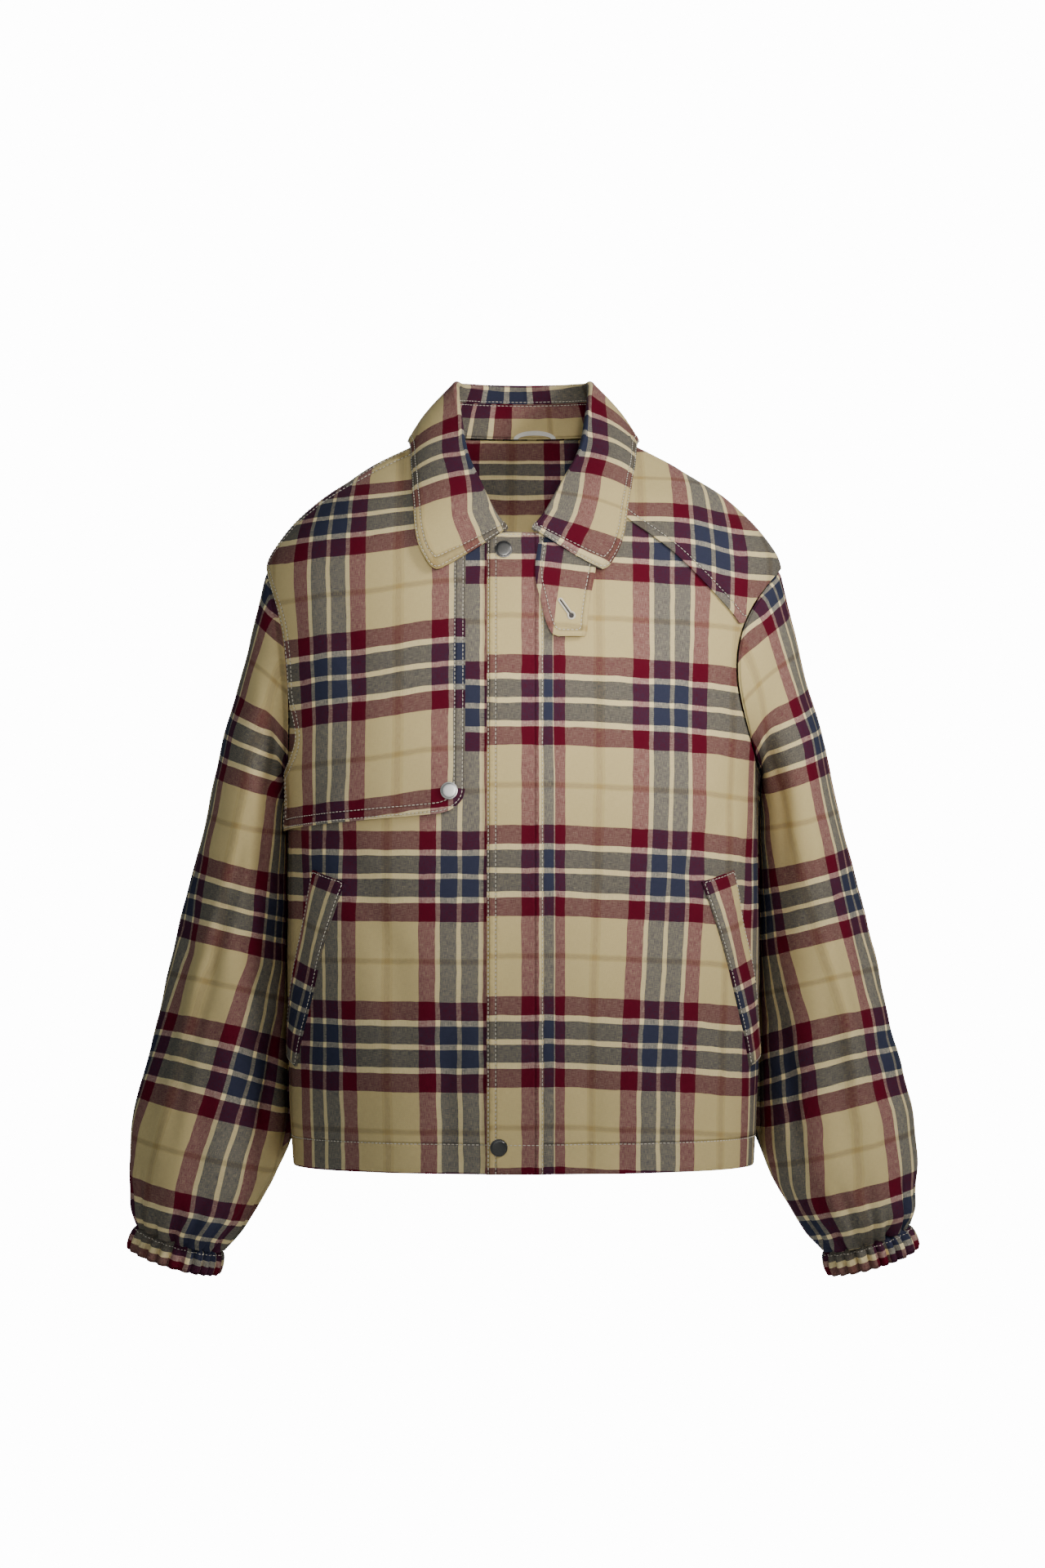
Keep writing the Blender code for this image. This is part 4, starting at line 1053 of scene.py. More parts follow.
def grid(low: Array, high: Array, columns: int, z: Array) -> tuple[Array, Array]:
    """Spread rows between two lines into columns, each point with its row's height."""
    places = low[:, None] + spaced(high - low, columns)
    return places, np.broadcast_to(z[:, None], places.shape)


def rising(*groups: Array | Sequence[float]) -> Array:
    """Join groups of positions into one rising list without near doubles."""
    places = np.unique(np.concatenate([np.asarray(group, float) for group in groups]))
    return places[np.concatenate([[True], np.diff(places) > 0.0003])]


@dataclass(frozen=True)
class Match:
    """Where the check's stripes fall on a piece, as places seen from the front.

    A place is an x and a z, where a band begins, or a few rows of x, z and how far into
    the repeat the place is, between which the stripes run smoothly. facing is -1 where
    the piece's face looks to the front and 1 where it looks back, turn is the cut's slant
    to the grain in degrees, and offset how far into the repeat two single places are.
    """

    across: Spots
    along: Spots | None
    facing: float = -1.0
    turn: float = 0.0
    offset: tuple[float, float] = (0.0, 0.0)
    # lengths along the cut, and along the check where a curved strip eases it in
    eased: Table = ()

    def lay(self, cloth: Cloth) -> Cloth:
        """Turn and shift the cut under the check so that the bands begin there."""
        cloth.cut = cloth.flat_size()
        angle = math.radians(self.turn)
        u, v = cloth.flat[..., 0], cloth.flat[..., 1]
        if self.eased:
            v = np.interp(v, *zip(*self.eased))
        flat = np.stack([u * math.cos(angle) + v * math.sin(angle),
                         v * math.cos(angle) - u * math.sin(angle)], -1)
        hidden = np.where(cloth.normals()[..., 1] * self.facing > 0, 0.0, 9.0)
        shifts = []
        for axis, places in enumerate((self.across, self.along)):
            if places is None:
                shifts.append(0.0)
                continue
            rows = places if isinstance(places[0], tuple) else ((*places, self.offset[axis]),)
            found = []
            for x, z, coordinate in rows:
                far = np.hypot(cloth.points[..., 0] - x, cloth.points[..., 2] - z)
                row, column = np.unravel_index(np.argmin(far + hidden), far.shape)
                found.append((flat[row, column, 1 - axis], coordinate - flat[row, column, axis]))
            found.sort()
            shifts.append(self.smooth(found, flat[..., 1 - axis]))
        cloth.flat = flat + np.stack(np.broadcast_arrays(shifts[0], shifts[1] + 0.0 * u), -1)
        return cloth

    @staticmethod
    def smooth(rows: list[tuple[float, float]], place: Array) -> Array:
        """Read shifts between places, a little rounded, and held beyond the last ones."""
        stations, shifts = zip(*rows)
        near = [np.interp(place + step, stations, shifts) for step in np.linspace(-0.018, 0.018, 7)]
        return np.mean(near, axis=0)


@dataclass
class Form:
    """The body with its drape and its creases, on which the panels and overlays lie.

    Front creases are charted by signed arc length and height, and back creases by the
    arc length from the centre back, positive towards -X, and height.
    """

    body: Body
    front_creases: tuple[Crease, ...] = (
        Crease(((0.215, -0.300), (0.165, -0.350), (0.120, -0.420)), 0.011, 0.0018),
        Crease(((-0.215, -0.300), (-0.170, -0.345), (-0.135, -0.400)), 0.010, 0.0016),
        Crease(((0.235, -0.320), (0.215, -0.420), (0.205, -0.520)), 0.016, 0.0024),
        Crease(((-0.235, -0.330), (-0.215, -0.430), (-0.200, -0.540)), 0.016, 0.0024),
        Crease(((0.052, -0.636), (0.058, -0.585), (0.055, -0.530)), 0.009, 0.0024),
        Crease(((0.088, -0.636), (0.082, -0.600)), 0.007, 0.0020),
        Crease(((0.118, -0.636), (0.124, -0.560), (0.118, -0.470)), 0.012, 0.0026),
        Crease(((-0.062, -0.636), (-0.067, -0.570), (-0.060, -0.500)), 0.010, 0.0024),
        Crease(((0.165, -0.150), (0.152, -0.220), (0.156, -0.300)), 0.014, 0.0028),
        Crease(((-0.160, -0.360), (-0.115, -0.450), (-0.102, -0.560)), 0.017, 0.0030),
        Crease(((0.045, -0.190), (0.095, -0.180), (0.150, -0.215)), 0.016, -0.0009),
        Crease(((-0.170, -0.130), (-0.150, -0.200), (-0.160, -0.290)), 0.014, 0.0022),
    )
    back_creases: tuple[Crease, ...] = (
        Crease(((-0.205, -0.280), (-0.140, -0.345), (-0.070, -0.370)), 0.012, 0.0028),
        Crease(((0.205, -0.270), (0.130, -0.330), (0.060, -0.365)), 0.012, 0.0026),
        Crease(((-0.170, -0.130), (-0.158, -0.200), (-0.172, -0.280)), 0.014, 0.0026),
        Crease(((0.172, -0.140), (0.155, -0.210), (0.170, -0.290)), 0.014, 0.0024),
        Crease(((-0.055, -0.020), (0.004, -0.045), (0.060, -0.022)), 0.009, 0.0014),
        Crease(((-0.020, -0.160), (-0.032, -0.300), (-0.010, -0.460)), 0.020, 0.0022),
        Crease(((0.090, -0.120), (0.112, -0.250), (0.100, -0.400)), 0.020, 0.0018),
        Crease(((-0.100, -0.636), (-0.106, -0.560), (-0.112, -0.460)), 0.012, 0.0018),
        Crease(((0.050, -0.636), (0.056, -0.570), (0.062, -0.500)), 0.010, 0.0016),
    )

    def front(self, arc: Array, z: Array, lift: Array | float = 0.0) -> Array:
        """Give points of the fronts at signed arc lengths and heights, lifted off them."""
        plain = self.body.at(arc, z)
        depth = (self.body.drop(plain) + creased(self.front_creases, arc, z)
                 + 0.00035 * ripple(arc, z, 0.060, 11))
        return plain + self.body.normal(plain) * (lift - depth)[..., None]

    def laid(self, arc: Array, z: Array, lift: Array | float = 0.0) -> Cloth:
        """Lay a grid of cloth on the fronts, with its flat cut."""
        return Cloth(self.front(arc, z, lift), np.stack([arc, self.body.rise(z, True)], -1))

    def back(self, across: Array, z: Array) -> Array:
        """Give points of the back at arc lengths from the centre back and heights."""
        half = self.body.half_girth(z)
        plain = self.body.at(np.where(across <= 0, half + across, across - half), z)
        depth = (self.body.drop(plain) + creased(self.back_creases, across, z)
                 + 0.0005 * ripple(across, z, 0.070, 23))
        return plain - self.body.normal(plain) * depth[..., None]

    def heights(self, top: float) -> Array:
        """List the heights of a panel's rows, close together at the hem, its stitches and the neck."""
        body = self.body
        turn = np.linspace(0, np.pi, 57)
        armhole = body.armhole_mid_z - body.armhole_half_height * np.cos(turn)
        hem = HEM_Z + np.array([*NEAR, 0.0115, 0.0145, 0.0175, 0.0205, 0.0230, 0.0243, 0.0255, 0.0267,
                                0.0282])
        neck = (-0.0905, -0.0880, -0.0865, -0.0860, -0.0855, -0.0850, -0.0845, -0.0838, -0.0830, -0.0815)
        top_rows = np.append(np.arange(body.shoulder_z + 0.003, top - 0.001, 0.0028), top)
        return rising(hem, np.arange(HEM_Z + 0.031, body.underarm_z, 0.0033), armhole, neck, top_rows)


@dataclass
class Front:
    """One front, from its centre edge to the side seam, armhole and shoulder seam."""

    form: Form
    side: Side
    match: Match
    wall: float = 0.0016
    hem: float = 0.0255
    columns: int = 72
    lap_x: float = 0.0136
    underlap_x: float = 0.0130
    underlap_top_z: float = -0.0865
    tuck_arc: float = 0.0264
    tuck: float = 0.0101
    # how far the left's grain leans off the placket, and the arc and height where it begins
    lean: float = 0.0115
    lean_arc: float = 0.030
    lean_z: float = -0.280

    def inner_x(self, z: Array) -> Array:
        """Give the x of the centre edge at heights: lap or underlap, then the neckline."""
        neck = self.form.body.neckline_x(z)
        if self.side is Side.LEFT:
            return np.maximum(neck, self.lap_x)
        above = ease((z - self.underlap_top_z) / 0.0020)
        return self.underlap_x * (1 - above) - neck * above

    def cloth(self) -> Cloth:
        """Lay out the front as a grid, with its seams drawn in and its hem turned up."""
        body = self.form.body
        z = self.form.heights(0.001)
        inner = body.arc_at_x(z, self.inner_x(z))
        outer = body.front_end(z) * self.side.value
        low, high = (inner, outer) if self.side is Side.LEFT else (outer, inner)
        arc, z = grid(low, high, self.columns, z)
        across = arc
        if self.side is Side.LEFT:
            across = arc - self.tuck * (1 - ease((arc - self.tuck_arc + 0.0006) / 0.0012))
            aside = ease((arc - self.lean_arc) / 0.050) * ease((self.lean_z - z) / 0.320)
            across = across + self.lean * aside
        cloth = Cloth(self.form.front(arc, z), np.stack([across, body.rise(z, True)], -1))
        cloth.with_edge(Border.BOTTOM)
        seam = cloth.away_from(Border.END if self.side is Side.LEFT else Border.START, Border.TOP)
        shape = roll(cloth.edge, 0.0005) + groove(cloth.edge, self.hem) + roll(seam, 0.0009)
        if self.side is Side.LEFT:
            shape = shape - 0.0009 * hump(arc - self.tuck_arc, 0.0016)
        cloth = cloth.lifted(shape)
        return self.match.lay(cloth)

    def build(self) -> None:
        """Make the front and its hem stitches."""
        cloth = self.cloth()
        sew(f"front_{self.side.name.lower()}", cloth, PANEL_CLOTH, self.wall, "checked_cotton", "hung",
            ["sewn_back"], [(cloth.edge, self.hem)])


@dataclass
class Back:
    """The back, over the shoulder ridges to the shoulder seams."""

    form: Form
    match: Match
    wall: float = 0.0016
    hem: float = 0.0255
    columns: int = 136

    def cloth(self) -> Cloth:
        """Lay out the back as a grid, with its seams drawn in and its hem turned up."""
        body = self.form.body
        z = self.form.heights(0.005)
        end = body.back_end(z)
        across, z = grid(-end, end, self.columns, z)
        cloth = Cloth(self.form.back(across, z), np.stack([across, body.rise(z, False)], -1))
        cloth.with_edge(Border.BOTTOM)
        seam = cloth.away_from(Border.START, Border.END)
        cloth = cloth.lifted(roll(cloth.edge, 0.0005) + groove(cloth.edge, self.hem) + roll(seam, 0.0009))
        return self.match.lay(cloth)

    def build(self) -> None:
        """Make the back and its hem stitches."""
        cloth = self.cloth()
        sew("back", cloth, PANEL_CLOTH, self.wall, "checked_cotton", "hung", ["shoulders"],
            [(cloth.edge, self.hem)])


@dataclass
class StormFlap:
    """The loose flap over the wearer's right chest, stitched along its free edges."""

    form: Form
    match: Match
    edge_x: float = 0.0495
    bottom_z: float = -0.326
    side_drop: float = 0.016
    drop_run: float = 0.140
    corner: float = 0.018
    top_z: float = -0.008
    columns: int = 50
    steps: int = 98
    margin: float = 0.0035
    side_margin: float = 0.028
    width: float = 0.155
    loose_z: float = -0.220
    face: float = 0.0022
    wall: float = 0.0016
    stitch_lines: tuple[float, float] = (0.0021, 0.0090)

    def lift(self, arc: Array, z: Array) -> Array:
        """Say how far the flap's face stands off the front: most at its free edges."""
        low = ease((-0.215 - z) / 0.110)
        free = hump(arc + self.edge_x, 0.020)
        loose = 0.0026 * low + 0.0012 * free + 0.0012 * low * (ripple(arc, z, 0.055, 5) + 0.6)
        return self.face + np.maximum(loose, 0.0)

    def cloth(self) -> Cloth:
        """Lay out the flap as a grid from its curved lower edge to the shoulder seam."""
        body = self.form.body
        share = shares(0.185, self.columns)
        from_edge = (1 - share) * self.width
        bend = np.clip((self.corner - from_edge) / self.corner, 0, 1)
        low = (self.bottom_z - self.side_drop * from_edge / self.drop_run
               + self.corner * (1 - np.sqrt(1 - bend ** 2)))
        up = shares(0.330, self.steps)
        z = low[None] + (self.top_z - low[None]) * up[:, None]
        loose = ease((self.loose_z - z) / 0.050)
        side = self.margin + (self.side_margin - self.margin) * loose
        outer = -(body.front_end(z) - side)
        inner_x = np.maximum(self.edge_x, body.neckline_x(z) + self.margin)
        inner = -body.arc_at_x(z, inner_x)
        arc = outer + (inner - outer) * share
        cloth = self.form.laid(arc, z, self.lift(arc, z)).with_edge(Border.BOTTOM, Border.START, Border.END)
        cloth = cloth.lifted(roll(cloth.edge) + groove(cloth.edge, *self.stitch_lines))
        return self.match.lay(cloth)

    def build(self) -> None:
        """Make the flap and its two rows of stitches."""
        cloth = self.cloth()
        sew("storm_flap", cloth, FLAP_CLOTH, self.wall, "checked_cotton", "hung", ["sewn_front_right"],
            [(cloth.edge, distance) for distance in self.stitch_lines])


@dataclass
class ShoulderYoke:
    """The lapped yoke on the wearer's left shoulder, by the z and x of its lower edge."""

    form: Form
    match: Match
    lower_edge: Table = (
        (-0.163, 0.1860), (-0.154, 0.1795), (-0.137, 0.1640), (-0.119, 0.1465), (-0.102, 0.1285),
        (-0.088, 0.1100), (-0.074, 0.0900), (-0.060, 0.0760), (-0.048, 0.0690),
    )
    neck_x: float = 0.066
    top_z: float = -0.008
    columns: int = 34
    steps: int = 60
    margin: float = 0.0035
    face: float = 0.0022
    raised: float = 0.0009
    wall: float = 0.0016
    stitch_line: float = 0.0070

    def cloth(self) -> Cloth:
        """Lay out the yoke as a grid from its lower edge to the shoulder and armhole."""
        body = self.form.body
        bottom = self.lower_edge[0][0]
        z = bottom + spaced(self.top_z - bottom, self.steps)
        edge = read_table(self.lower_edge, z)[..., 1]
        neck = body.neckline_x(z) + self.margin
        inner = body.arc_at_x(z, np.where(z > self.lower_edge[-1][0], np.maximum(neck, self.neck_x), edge))
        outer = body.front_end(z) - self.margin
        arc, z = grid(inner, outer, self.columns, z)
        edge = self.form.laid(arc, z).with_edge(Border.START, Border.BOTTOM).edge
        cloth = self.form.laid(arc, z, self.face + self.raised * hump(edge, 0.010))
        cloth.edge = edge
        return self.match.lay(cloth.lifted(roll(edge) + groove(edge, self.stitch_line)))

    def build(self) -> None:
        """Make the yoke and its stitches."""
        cloth = self.cloth()
        sew("shoulder_yoke", cloth, YOKE_CLOTH, self.wall, "checked_cotton", "laid", ["sewn_front_left"],
            [(cloth.edge, self.stitch_line)])


@dataclass
class PocketWelt:
    """A slanted pocket welt, by distance from the side seam and height of its corners."""

    form: Form
    side: Side
    match: Match
    top_inner: tuple[float, float] = (0.128, -0.3865)
    top_outer: tuple[float, float] = (0.090, -0.3770)
    bottom_outer: tuple[float, float] = (0.025, -0.5400)
    bottom_inner: tuple[float, float] = (0.061, -0.5480)
    width: float = 0.0375
    length: float = 0.1700
    columns: int = 6
    steps: int = 46
    face: float = 0.0026
    wall: float = 0.0020
    stitch_line: float = 0.0014

    def cloth(self) -> Cloth:
        """Lay out the welt as a grid between its corners."""
        body = self.form.body
        across = shares(0.037, self.columns)[None, :, None]
        up = shares(self.length, self.steps)[:, None, None]
        low_left, low_right = np.array(self.bottom_inner), np.array(self.bottom_outer)
        high_left, high_right = np.array(self.top_inner), np.array(self.top_outer)
        if self.side is Side.RIGHT:
            low_left, low_right = low_right, low_left
            high_left, high_right = high_right, high_left
        low = low_left + (low_right - low_left) * across
        high = high_left + (high_right - high_left) * across
        chart = low + (high - low) * up
        z = chart[..., 1]
        arc = self.side.value * (body.front_end(z) - chart[..., 0])
        flat = np.stack(np.broadcast_arrays(across[..., 0] * self.width, up[..., 0] * self.length), -1)
        cloth = Cloth(self.form.front(arc, z, np.full(arc.shape, self.face)), flat)
        cloth.with_edge(Border.BOTTOM, Border.TOP, Border.START, Border.END)
        middle = hump(across[..., 0] - 0.5, 0.5) * 0.0007
        cloth = cloth.lifted(roll(cloth.edge, 0.0009) + groove(cloth.edge, self.stitch_line) + middle)
        return self.match.lay(cloth)

    def build(self) -> None:
        """Make the welt and its stitches."""
        side = self.side.name.lower()
        cloth = self.cloth()
        sew(f"pocket_welt_{side}", cloth, WELT_CLOTH, self.wall, "faced_cotton", "laid",
            [f"sewn_front_{side}"], [(cloth.edge, self.stitch_line)])


@dataclass
class Placket:
    """The straight placket over both fronts, its free edge a little raised."""

    form: Form
    match: Match
    left_x: float = -0.0310
    right_x: float = 0.0175
    top_z: float = -0.0865
    columns: int = 12
    steps: int = 178
    wall: float = 0.0020
    face: float = 0.0025
    left_lines: tuple[float, float] = (0.0013, 0.0075)
    right_line: float = 0.0013
    top_line: float = 0.0022
    hem: float = 0.0255

    def raised(self, arc: Array, z: Array) -> Array:
        """Say how far the placket's face stands off the fronts."""
        free = ease((0.012 - (arc - self.left_x)) / 0.014)
        return self.face + 0.0011 * free + 0.0003 * (ripple(arc, z, 0.045, 31) + 1)

    def cloth(self) -> Cloth:
        """Lay out the placket as a grid."""
        body = self.form.body
        z = rising(HEM_Z + spaced(self.top_z - HEM_Z, self.steps))
        low, high = body.arc_at_x(z, self.left_x), body.arc_at_x(z, self.right_x)
        arc, z = grid(low, high, self.columns, z)
        cloth = self.form.laid(arc, z, self.raised(arc, z)).with_edge(Border.START, Border.END)
        end = cloth.away_from(Border.BOTTOM, Border.TOP)
        left = cloth.away_from(Border.START)
        shape = roll(np.minimum(cloth.edge, end), 0.0009) + groove(left, *self.left_lines)
        cloth = cloth.lifted(shape + groove(cloth.away_from(Border.BOTTOM), self.hem))
        return self.match.lay(cloth)

    def build(self) -> None:
        """Make the placket and its stitches."""
        cloth = self.cloth()
        left = cloth.away_from(Border.START)
        sew("front_placket", cloth, PLACKET_CLOTH, self.wall, "faced_cotton", "hung",
            ["sewn_front_left", "sewn_front_right"],
            [(left, self.left_lines[0]), (left, self.left_lines[1]),
             (cloth.away_from(Border.END), self.right_line), (cloth.away_from(Border.TOP), self.top_line),
             (cloth.away_from(Border.BOTTOM), self.hem)])


def tube(name: str, path: Array, up: Array, radius: float, finish: Material,
         sides: int = 8) -> Piece:
    """Make a closed loop of cord along a path.

    Args:
        name: The piece's name.
        path: The loop's points, the first not repeated.
        up: One direction square to the path for each point.
        radius: The cord's radius.
        finish: The material.
        sides: The number of sides of the cord.

    Returns:
        The new object.
    """
    run = unit(np.roll(path, -1, 0) - np.roll(path, 1, 0))
    across = unit(np.cross(run, up))
    rings = [path + radius * (across * math.cos(turn) + up * math.sin(turn))
             for turn in np.arange(sides) * math.tau / sides]
    points = np.stack(rings, 1).reshape(-1, 3)
    count = len(path)
    faces = []
    for index in range(count):
        here, there = index * sides, (index + 1) % count * sides
        for k in range(sides):
            following = (k + 1) % sides
            faces.append((here + k, there + k, there + following, here + following))
    mesh = bpy.data.meshes.new(name)
    mesh.from_pydata(points.tolist(), [], faces)
    return finished(name, mesh, finish, 80)


@dataclass
class ThroatTab:
    """The tab that hangs from under the collar, with a bound keyhole buttonhole."""

    form: Form
    match: Match
    rows: tuple[Place, ...] = (
        (-0.1770, 0.0300, 0.0520), (-0.1750, 0.0245, 0.0540), (-0.1620, 0.0185, 0.0550),
        (-0.1430, 0.0140, 0.0575), (-0.1270, 0.0105, 0.0605), (-0.1110, 0.0105, 0.0630),
        (-0.0960, 0.0130, 0.0640),
    )
    length: float = 0.081
    columns: int = 11
    steps: int = 24
    face: float = 0.0048
    wall: float = 0.0020
    stitch_line: float = 0.0056
    slit: tuple[tuple[float, float], tuple[float, float]] = ((0.0315, -0.1463), (0.0408, -0.1596))
    eyelet: float = 0.0025
    half_slit: float = 0.0010

    def raised(self, z: Array) -> Array:
        """Say how far the tab's face stands off the front: most at its free end."""
        return self.face + 0.0022 * ease((-0.120 - z) / 0.060)

    def cloth(self) -> Cloth:
        """Lay out the tab as a grid from its rounded end up to the collar."""
        body = self.form.body
        z = self.rows[0][0] + spaced(self.length, self.steps)
        table = read_table(self.rows, z)
        low, high = body.arc_at_x(z, table[..., 1]), body.arc_at_x(z, table[..., 2])
        arc, z = grid(low, high, self.columns, z)
        cloth = self.form.laid(arc, z, self.raised(z)).with_edge(Border.BOTTOM, Border.START, Border.END)
        return self.match.lay(cloth.lifted(roll(cloth.edge, 0.0009) + groove(cloth.edge, self.stitch_line)))

    def keyhole(self, grow: float, above: float) -> tuple[Array, Array]:
        """Give the outline of the buttonhole on the tab's face, and the directions off it.

        Args:
            grow: How much larger than the opening the outline is.
            above: Its height over the face.

        Returns:
            The outline's points and one direction off the tab for each.
        """
        start, end = np.array(self.slit[0]), np.array(self.slit[1])
        run = (end - start) / np.linalg.norm(end - start)
        square = np.array([-run[1], run[0]])
        half, radius = self.half_slit + grow, self.eyelet + grow
        meet = math.asin(half / radius)
        turns = np.linspace(math.pi - meet, meet - math.pi, 26)
        eye = end + radius * (np.cos(turns)[:, None] * run + np.sin(turns)[:, None] * square)
        share = np.linspace(0, 1, 18)[1:-1, None]
        first = start + square * half
        last = start - square * half
        round_end = np.linspace(-np.pi / 2, -3 * np.pi / 2, 8)[1:-1]
        cap = start + half * (np.cos(round_end)[:, None] * run + np.sin(round_end)[:, None] * square)
        outline = np.concatenate([eye, eye[-1] + (last - eye[-1]) * share, last[None], cap, first[None],
                                  first + (eye[0] - first) * share])
        z = outline[:, 1]
        arc = self.form.body.arc_at_x(z, outline[:, 0])
        low = self.form.front(arc, z, self.raised(z))
        high = self.form.front(arc, z, self.raised(z) + 0.001)
        up = unit(high - low)
        return low + up * above, up

    def build(self) -> None:
        """Make the tab, its stitches and its buttonhole, whose opening is a dark sheet of painted shade."""
        cloth = self.cloth()
        sew("throat_tab", cloth, TAB_CLOTH, self.wall, "faced_cotton", "hung", ["sewn_front_left"],
            [(cloth.edge, self.stitch_line)])
        path, up = self.keyhole(0.0004, 0.0003)
        carried(tube("buttonhole_rim", path, up, 0.0008, PALE_THREAD.material()), "ribbon")
        # painted shade: a dark sheet just under the face fills the buttonhole's opening
        path, up = self.keyhole(0.0, 0.00025)
        mesh = bpy.data.meshes.new("buttonhole_shade")
        count = len(path)
        walls = [(k, (k + 1) % count, count + (k + 1) % count, count + k) for k in range(count)]
        mesh.from_pydata(np.concatenate([path, path - up * 0.0004]).tolist(), [],
                         [tuple(range(count))[::-1], tuple(range(count, 2 * count)), *walls])
        carried(finished("buttonhole_shade", mesh, SLIT_SHADE.material()), "ribbon")


@dataclass
class Sleeve:
    """A set-in sleeve as rings from the armhole to the cuff, with folds and gathers.

    The angle round a ring is 0 at the outer line, 90 degrees in front and 180 at the body.
    """

    body: Body
    side: Side
    match: Match
    creases: tuple[Crease, ...]
    rings: Table = (
        # outer x, outer z, inner x, inner z, half depth, centre y, share of the armhole's bend, lean
        (0.2250, -0.1130, 0.2070, -0.2900, 0.0840, 0.004, 1.00, 0.00),
        (0.2278, -0.1205, 0.2092, -0.2925, 0.0825, 0.006, 0.76, 0.00),
        (0.2328, -0.1410, 0.2102, -0.2970, 0.0810, 0.009, 0.52, 0.00),
        (0.2405, -0.1720, 0.2100, -0.3030, 0.0790, 0.013, 0.30, 0.00),
        (0.2500, -0.2110, 0.2094, -0.3130, 0.0810, 0.017, 0.12, 0.00),
        (0.2620, -0.2490, 0.2090, -0.3260, 0.0840, 0.020, 0.00, 0.00),
        (0.2740, -0.3010, 0.2088, -0.3480, 0.0860, 0.022, 0.00, 0.00),
        (0.2865, -0.3560, 0.2088, -0.3860, 0.0870, 0.024, 0.00, 0.00),
        (0.3035, -0.4190, 0.2088, -0.4400, 0.0850, 0.024, 0.00, 0.00),
        (0.3200, -0.4940, 0.2088, -0.5090, 0.0810, 0.020, 0.00, 0.02),
        (0.3345, -0.5540, 0.2088, -0.5660, 0.0760, 0.014, 0.00, 0.04),
        (0.3450, -0.5930, 0.2095, -0.6080, 0.0720, 0.009, 0.00, 0.06),
        (0.3475, -0.6320, 0.2180, -0.6450, 0.0680, 0.005, 0.00, 0.08),
        (0.3465, -0.6560, 0.2335, -0.6730, 0.0610, 0.002, 0.00, 0.10),
        (0.3450, -0.6750, 0.2490, -0.6960, 0.0500, 0.000, 0.00, 0.12),
        (0.3412, -0.6900, 0.2632, -0.7130, 0.0340, 0.000, 0.00, 0.14),
    )
    folds: Table = (
        # around in degrees, spread in degrees, depth, top z, bottom z
        (42, 14, 0.0065, -0.36, -0.66), (118, 12, 0.0050, -0.20, -0.42),
        (86, 10, 0.0040, -0.46, -0.69), (250, 11, 0.0060, -0.18, -0.46),
        (300, 10, 0.0060, -0.34, -0.67), (214, 12, 0.0050, -0.44, -0.68),
    )
    # where it lies against the body: degrees round, spread, depth, top z, bottom z
    against: tuple[float, ...] = (-152, 24, 0.0135, -0.295, -0.660)
    # the grain's direction below a height, and the run over which it turns to it
    low_grain: Place = (0.0725, 0.0, -0.305)
    low_z: float = -0.530
    low_run: float = 0.070
    wall: float = 0.0016
    columns: int = 168
    steps: int = 168
    metres_per_degree: float = 0.0012
    gathers: int = 16
    seam_dip: float = 0.0011
    blousing: float = 0.0016

    def ring_table(self, number: Array) -> Array:
        """Read the rings at fractional numbers."""
        rows = [(float(index), *ring) for index, ring in enumerate(self.rings)]
        return read_table(rows, number)

    @staticmethod
    def across(outer: Array | float, inner: Array | float, reach: Array) -> Array:
        """Go from the inner line to the outer one as reach goes from -1 to 1."""
        return (outer + inner) / 2 + (outer - inner) / 2 * reach

    def plain(self, number: Array, angle: Array) -> tuple[Array, Array]:
        """Give the sleeve's points and ring centres without folds, for the +X side."""
        _, outer_x, outer_z, inner_x, inner_z, depth, centre_y, share, lean = np.moveaxis(
            self.ring_table(number), -1, 0)
        y = centre_y - depth * np.sin(angle)
        reach = np.cos(angle)
        point = np.stack([self.across(outer_x, inner_x, reach), y,
                          self.across(outer_z, inner_z, reach) + lean * y], -1)
        first = self.rings[0]
        start = np.stack([self.across(first[0], first[2], reach), first[5] - first[4] * np.sin(angle),
                          self.across(first[1], first[3], reach)], -1)
        point = point + (self.body.armhole_point(angle, 2 * SEAM) - start) * share[..., None]
        around, spread, pressed, top, bottom = self.against
        against = hump(np.degrees(angle) - around, spread) * ease((top - inner_z) / 0.040)
        point[..., 0] -= pressed * against * ease((inner_z - bottom) / 0.060)
        centre = np.stack([(outer_x + inner_x) / 2, centre_y, point[..., 2]], -1)
        return point, centre

    def depth(self, z: Array, degrees: Array) -> Array:
        """Sum folds and creases at heights and angles, as a depth towards the middle."""
        total = np.zeros(z.shape)
        round_degrees = degrees % 360
        for around, spread, depth, top, bottom in self.folds:
            share = np.clip((top - z) / (top - bottom), 0, 1)
            away = (round_degrees - around + 180) % 360 - 180
            total = total + depth * np.sin(np.pi * share) ** 0.8 * hump(away, spread)
        chart = degrees * self.metres_per_degree
        scaled = [Crease(tuple((a * self.metres_per_degree, b) for a, b in crease.path), crease.reach,
                         crease.depth) for crease in self.creases]
        return total + creased(scaled, chart, z) + 0.0006 * ripple(chart, z, 0.055, 41 + self.side.value)

    def gathering(self, run: Array, degrees: Array) -> Array:
        """Give the uneven gathers above the cuff, fading upwards, by the run left to it."""
        source = np.random.default_rng(70 + self.side.value)
        total = np.zeros(run.shape)
        step = 360 / self.gathers
        for index in range(self.gathers):
            centre = -180 + step * (index + 0.5) + source.uniform(-0.22, 0.22) * step
            length, depth = source.uniform(0.035, 0.110), source.uniform(0.0050, 0.0090)
            drift = source.uniform(-60, 60)
            away = (degrees - centre - drift * run + 180) % 360 - 180
            fade = ease(1 - run / length) ** 1.3
            width = step * (0.20 + 1.8 * run)
            total = total + depth * fade * hump(away, width)
        return total

